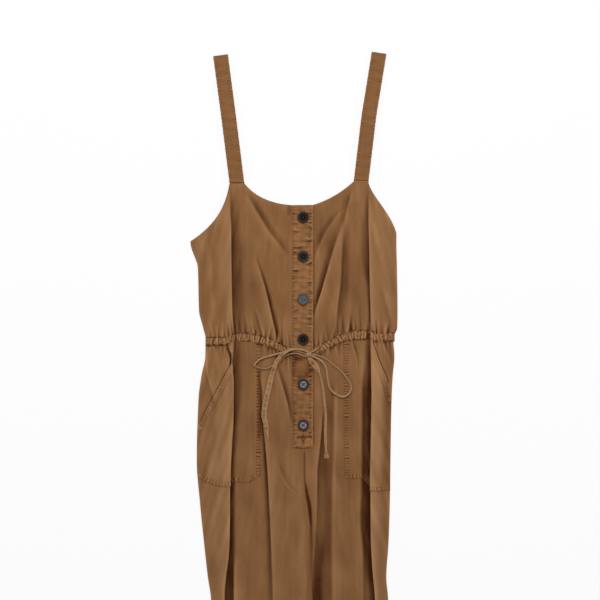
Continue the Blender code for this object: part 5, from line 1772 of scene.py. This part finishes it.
tie = {
    "diameter": 5 * mm, "thickness": 1.9 * mm, "step": 1.5 * mm, "knotHeight": 12.4, "endKnotAt": 0.968,
    # how far the casing and the pockets raise what lies on them
    "casingLift": 3.9 * mm, "pocketLift": 1.7 * mm,
    # x, y, how far it is raised over what it crosses
    "right": (
        (-27, -15.8, 0), (-14, -15.6, 0), (-3, -16.4, 0), (5.5, -19, 0), (10.2, -21.6, 0.8), (7.6, -24.6, 0.8),
        (2.6, -22.8, 0), (-8, -19.4, 0), (-22, -18.4, 0), (-34.3, -21.4, 0), (-48, -25, 0), (-70.2, -31, 0),
        (-81.2, -38.5, 0), (-84.5, -45.5, 0), (-73.5, -49.7, 0), (-62.5, -50, 0), (-50, -43.4, 0),
        (-39, -35.7, 0), (-31, -28, 0), (-21, -24, 0), (-12, -23.3, 0), (-4, -25.3, 0), (3.2, -28.2, 0.5),
        (9.6, -27.4, 2), (10.6, -23.2, 3.2), (6.5, -20, 3.4), (-2, -17, 4), (-12, -16, 4), (-21, -16.8, 4.2),
        (-28.5, -19.8, 4.4), (-36, -25.3, 4.4), (-44, -34.2, 4.4), (-49, -45, 4), (-54.6, -62.2, 0.5),
        (-60.9, -88.8, 0), (-66, -112.2, 0), (-67.9, -132.5, 0), (-64, -151.3, 0), (-60.6, -174.4, 0),
    ),
    "left": (
        (25.5, -13.8, 0), (20.6, -17.6, 0), (15.6, -20.8, 0), (12.4, -23.4, 0.8), (14.2, -25.6, 0.8), (18.9, -25, 0),
        (27, -28, 0), (39.2, -32.5, 0), (54.8, -45, 0), (70.4, -59, 0), (81.3, -74.7, 0), (84.4, -84, 0),
        (79.8, -94.2, 0), (68.8, -98.9, 0), (54.8, -92.7, 0), (46.2, -82.4, 0), (43, -66.9, 0), (40.7, -49.7, 0),
        (32.9, -37.2, 0), (24, -31.5, 0), (17.6, -28.6, 0.5), (12.2, -27.4, 1.5), (11.6, -31.5, 1), (17.3, -40, 0),
        (27.2, -53.6, 0), (33.6, -76.3, 0), (37.6, -107.5, 0), (39.9, -132.5, 0), (39.2, -157.5, 0),
        (39.9, -185.5, 0), (41.5, -207.5, 0),
    ),
    # share of the length, width, roll in degrees
    "rightShape": ((0, 3.6, 20), (0.06, 3.6, 25), (0.1, 3.6, 35), (0.14, 3.6, 42), (0.2, 4.1, 44), (0.3, 4.2, 46),
                   (0.43, 4.2, 42), (0.455, 2.9, 42), (0.5, 3, 36), (0.53, 3.6, 30), (0.56, 3.2, 32),
                   (0.6, 2.9, 38), (0.625, 3.8, 24), (0.65, 6, 8), (0.72, 7.5, 0), (0.8, 9.6, -6), (0.88, 9.4, 4),
                   (0.93, 8.2, 8), (0.965, 5.6, 5), (1, 2, 0)),
    "leftShape": ((0, 3, 20), (0.06, 3.6, 30), (0.2, 4.1, 44), (0.34, 4.2, 48), (0.5, 4.3, 34), (0.56, 4.6, 10),
                  (0.582, 9, -6), (0.602, 10.2, 0), (0.622, 9.2, 0), (0.64, 5, 12), (0.655, 2.6, 35), (0.69, 4.4, 28),
                  (0.73, 4.7, 25), (0.82, 4.6, 28), (0.93, 5, 10), (0.966, 3.2, 0), (0.982, 7, 0), (1, 9, 0)),
}


def restTop(x, y):
    # top of whatever lies at a point
    z = frontSurface(x, y)[..., 2]
    onPlacket = (x > placket["left"] * mm - mm) & (x < placket["right"] * mm + mm) & (y > placket["bottom"] * mm)
    z = np.where(onPlacket, np.maximum(z, placket["height"] + 0.3 * mm), z)
    offCasing = np.abs(y - along(waistLine, x)) - garment["casingHeight"] / 2
    casingSpan = (x < casingEnds["right"][1] * mm) | (x > casingEnds["left"][0] * mm)
    z = z + np.where(casingSpan, tie["casingLift"] * (1 - smooth(offCasing / (1.5 * mm))), 0)
    onPocket = (x < pockets["right"]["inner"][0][0] * mm) | (x > pockets["left"]["inner"][-1][0] * mm)
    return z + np.where(onPocket, tie["pocketLift"], 0)


def smoothLine(route, step):
    spots = np.array(route, float) * mm
    padded = np.concatenate([2 * spots[:1] - spots[1:2], spots, 2 * spots[-1:] - spots[-2:-1]])
    fine = []
    for a, b, c, d in zip(padded, padded[1:], padded[2:], padded[3:]):
        t = np.linspace(0, 1, 24, endpoint=False)[:, None]
        fine.append(0.5 * (2 * b + (c - a) * t + (2 * a - 5 * b + 4 * c - d) * t ** 2
                           + (3 * b - a - 3 * c + d) * t ** 3))
    fine = np.concatenate(fine + [spots[-1:]])
    travel = summed(np.linalg.norm(np.diff(fine[:, :2], axis=0), axis=1))
    return readOff(np.linspace(0, travel[-1], round(travel[-1] / step) + 1), travel, fine)


def evened(values, cells):
    kernel = np.hanning(2 * cells + 3)[1:-1]
    padded = np.concatenate([np.full(cells, values[0]), values, np.full(cells, values[-1])])
    return np.convolve(padded, kernel / kernel.sum(), "valid")


def addTie(name, side):
    line = smoothLine(tie[side], tie["step"])
    count = len(line)
    share = np.linspace(0, 1, count)
    table = np.array(tie[side + "Shape"], float)
    width = np.interp(share, table[:, 0], table[:, 1]) * mm
    roll = np.radians(np.interp(share, table[:, 0], table[:, 2]))
    lumps = 1 + 0.06 * unevenness(share, 0 * share, 0.03, 91 if side == "right" else 94)
    width = evened(width, 3) * lumps
    roll = evened(roll, 4)
    half = np.abs(np.sin(roll)) * width / 2 + np.abs(np.cos(roll)) * tie["thickness"] / 2
    reach = 2 * mm
    spots = [restTop(line[:, 0] + a * reach, line[:, 1] + b * reach) for a in (-1, 0, 1) for b in (-1, 0, 1)]
    rest = np.max(spots, axis=0)
    rest = np.maximum(evened(rest, 3), rest - 0.3 * mm)
    height = evened(rest + half + line[:, 2] + 0.1 * mm, 2)
    centres = np.stack([line[:, 0], line[:, 1], height], -1)
    travel = share * np.linalg.norm(np.diff(centres, axis=0), axis=1).sum()
    run = unit(np.gradient(centres, axis=0))
    level = unit(np.cross(run, np.tile((0, 0, 1.0), (count, 1))))
    upright = np.cross(level, run)
    ups = upright * np.cos(roll)[:, None] + level * np.sin(roll)[:, None]
    across, tall = bandOutline(14, 0.7)
    ripple = np.sin(travel * math.tau / (6.4 * mm) + 2.4 * np.sin(travel * 230)) * (0.5 + 0.5 * np.sin(travel * 410))
    flat = smooth((width - 4 * mm) / (3 * mm))
    groove = 1 - 0.45 * bell(across - 0.5, 0.25) * (tall > 0)
    wide = width[:, None] * (1 + 0.05 * np.sin(travel * 700)[:, None]) * across / 2
    deep = tie["thickness"] * tall * groove / 2 * (1 - 0.2 * flat)[:, None]
    deep = deep + (0.35 * mm * ripple * flat)[:, None] * (0.4 + 0.6 * (across > 0.1))
    outline = np.stack([wide, deep], -1)
    rings = tubeRings(centres, ups, outline)
    faces = tubeFaces(count, len(across))
    uv = np.stack(np.broadcast_arrays(across * tie["thickness"] * 1.4, travel[:, None]), -1)
    # tone: painted shade along the strip's fold and on its underside, painted shade and highlight on the ripples of one
    # half, dark blotches and a darker middle on the wide parts, a painted highlight on their edges, and random tone
    slow = unevenness(travel, 0 * travel, 16 * mm, 92)
    fold = bell(across - 0.25 * slow[:, None], 0.22) * (tall > 0)
    blotch = flat * smooth((unevenness(travel, 0 * travel, 6.5 * mm, 95) + 0.05) / 0.5)
    tone = 0.1 - 0.5 * fold * np.clip(0.4 + slow, 0, 1)[:, None] - (0.28 * ripple * flat)[:, None] * (across > 0)
    tone = tone - 0.62 * blotch[:, None] * bell(across - 0.1, 0.6, 4) * (tall > 0)
    tone = tone - (0.14 * flat)[:, None] * bell(across, 0.7, 4)
    tone = tone - 0.5 * (tall < -0.3) + (0.5 * flat - 0.1)[:, None] * np.abs(across) ** 4
    tone = tone + 0.12 * unevenness(travel, 0 * travel, 7 * mm, 93)[:, None]
    tone = np.broadcast_to(tone, (count, len(across)))
    piece = addMesh(name, rings.reshape(-1, 3), faces, uv.reshape(-1, 2),
                    {"tone": tone.reshape(-1), "rub": np.full(tone.size, 0.15)})
    print(name, "is", round(travel[-1], 3), "m long")
    return asTie(piece, f"cord_stub_{side}", f"cord_loop_{side}", f"cord_tail_{side}"), centres


tieRight, rightCentres = addTie("tieRight", "right")
tieLeft, leftCentres = addTie("tieLeft", "left")


def addWraps(name, wraps, *nodes):
    # bands of the tie wound round a bundle: centre, half sizes (across, up), turn and tilt, band width
    points = []
    faces = []
    uvs = []
    tones = []
    across, tall = bandOutline(12, 0.8)
    for centre, halfSizes, turn, tilt, bandWidth, thickness in wraps:
        angle = np.linspace(0, math.tau, 41)[:-1]
        local = np.stack([math.sin(math.radians(tilt)) * halfSizes[0] * np.cos(angle) * mm,
                          math.cos(math.radians(tilt)) * halfSizes[0] * np.cos(angle) * mm,
                          halfSizes[1] * np.sin(angle) * mm], -1)
        heading = math.radians(turn)
        spots = np.stack([
            centre[0] * mm + local[:, 0] * math.cos(heading) - local[:, 1] * math.sin(heading),
            centre[1] * mm + local[:, 0] * math.sin(heading) + local[:, 1] * math.cos(heading),
            centre[2] * mm + local[:, 2]], -1)
        ups = unit(spots - spots.mean(axis=0))
        run = unit(np.roll(spots, -1, axis=0) - np.roll(spots, 1, axis=0))
        sideways = unit(np.cross(run, ups))
        bandWave = 1 + 0.12 * np.sin(3 * angle + turn)
        rings = (spots[:, None] + sideways[:, None] * (bandWidth * mm / 2 * across * bandWave[:, None])[..., None]
                 + ups[:, None] * (thickness * mm / 2 * tall)[None, :, None])
        faces += tubeFaces(len(angle), len(across), len(points), closed=True)
        points += rings.reshape(-1, 3).tolist()
        uv = np.stack(np.broadcast_arrays(across * bandWidth * mm / 2, angle[:, None] * 5 * mm), -1)
        uvs += uv.reshape(-1, 2).tolist()
        # tone: painted shade towards each band's edges
        tones += np.broadcast_to(0.15 - 0.4 * np.abs(across) ** 3, (len(angle), len(across))).reshape(-1).tolist()
    piece = addMesh(name, np.array(points), faces, np.array(uvs), {"tone": tones, "rub": np.full(len(tones), 0.15)})
    return asTie(piece, *nodes)


knotZ = tie["knotHeight"]
addWraps("bowKnot", (
    ((10.3, -24.6, knotZ), (4.7, 3.1), -18, 8, 4.6, 1.5),
    ((12.2, -25.2, knotZ + 0.3), (4.2, 3.2), 24, -6, 3.6, 1.4),
    ((8.4, -23.6, knotZ - 0.2), (3.9, 2.9), -52, 6, 3.4, 1.3),
), "bow_knot")
endKnotAt = leftCentres[round(len(leftCentres) * tie["endKnotAt"])] / mm
endKnot = addWraps("tieEndKnot", (
    ((endKnotAt[0], endKnotAt[1], endKnotAt[2]), (2.1, 1.7), 96, 10, 2.6, 1.0),
    ((endKnotAt[0] + 0.3, endKnotAt[1] - 0.6, endKnotAt[2]), (1.9, 1.6), 60, -10, 2.2, 0.9),
))


print("tie made")


# Stage

stage = {"floor": 6, "place": (0, -0.2, -0.3 * mm), "colour": (0.82, 0.82, 0.82, 1), "glow": 0.84, "world": 0.3}

bpy.ops.object.select_all(action="DESELECT")
bpy.ops.mesh.primitive_plane_add(size=stage["floor"], location=stage["place"])
floor = bpy.context.object
floor.name = "floor"
floorMaterial, tree, floorShader = newMaterial("floor")
setInputs(floorShader, Base_Color=stage["colour"], Roughness=1, Specular_IOR_Level=0)
rays = addNode(tree, "ShaderNodeLightPath", (-600, 300))
glow = addNode(tree, "ShaderNodeEmission", (-300, 200))
setInputs(glow, Strength=1)
mixed = addNode(tree, "ShaderNodeMixShader", (100, 200))
seen = mathNode(tree, "MULTIPLY", rays.outputs["Is Camera Ray"], stage["glow"], (-300, 400))
tree.links.new(seen, mixed.inputs[0])
tree.links.new(floorShader.outputs[0], mixed.inputs[1])
tree.links.new(glow.outputs[0], mixed.inputs[2])
tree.links.new(mixed.outputs[0], tree.nodes["Material Output"].inputs["Surface"])
floor.data.materials.append(floorMaterial)

world = bpy.data.worlds.new("studio")
bpy.context.scene.world = world
world.use_nodes = True
tree = world.node_tree
sky = tree.nodes["Background"]
setInputs(sky, Color=(1, 1, 1, 1))
rays = addNode(tree, "ShaderNodeLightPath", (-600, 200))
clear = mathNode(tree, "MAXIMUM", rays.outputs["Is Camera Ray"], rays.outputs["Is Glossy Ray"], (-400, 200))
clear = mathNode(tree, "MAXIMUM", clear, rays.outputs["Is Transmission Ray"], (-200, 200))
strength = mathNode(tree, "MULTIPLY", clear, 1 - stage["world"], (-100, 0))
strength = mathNode(tree, "ADD", strength, stage["world"], (0, 0))
tree.links.new(strength, sky.inputs["Strength"])

lamps = {
    "overhead": {"place": (0, 1.5, 2.2), "size": (1.2, 0.8), "power": 46},
    "right": {"place": (-1.9, 0.2, 1.6), "size": (0.9, 1.8), "power": 14.5},
    "left": {"place": (1.9, 0.2, 1.6), "size": (0.9, 1.8), "power": 14.5},
}
for name, lamp in lamps.items():
    bpy.ops.object.light_add(type="AREA", location=lamp["place"])
    light = bpy.context.object
    light.name = name
    light.data.shape = "RECTANGLE"
    light.data.size, light.data.size_y = lamp["size"]
    light.data.energy = lamp["power"]
    aim = Vector((0, 0, 0)) - Vector(lamp["place"])
    light.rotation_euler = aim.to_track_quat("-Z", "Y").to_euler()
bpy.context.scene.view_settings.view_transform = "Standard"
print("stage lit")
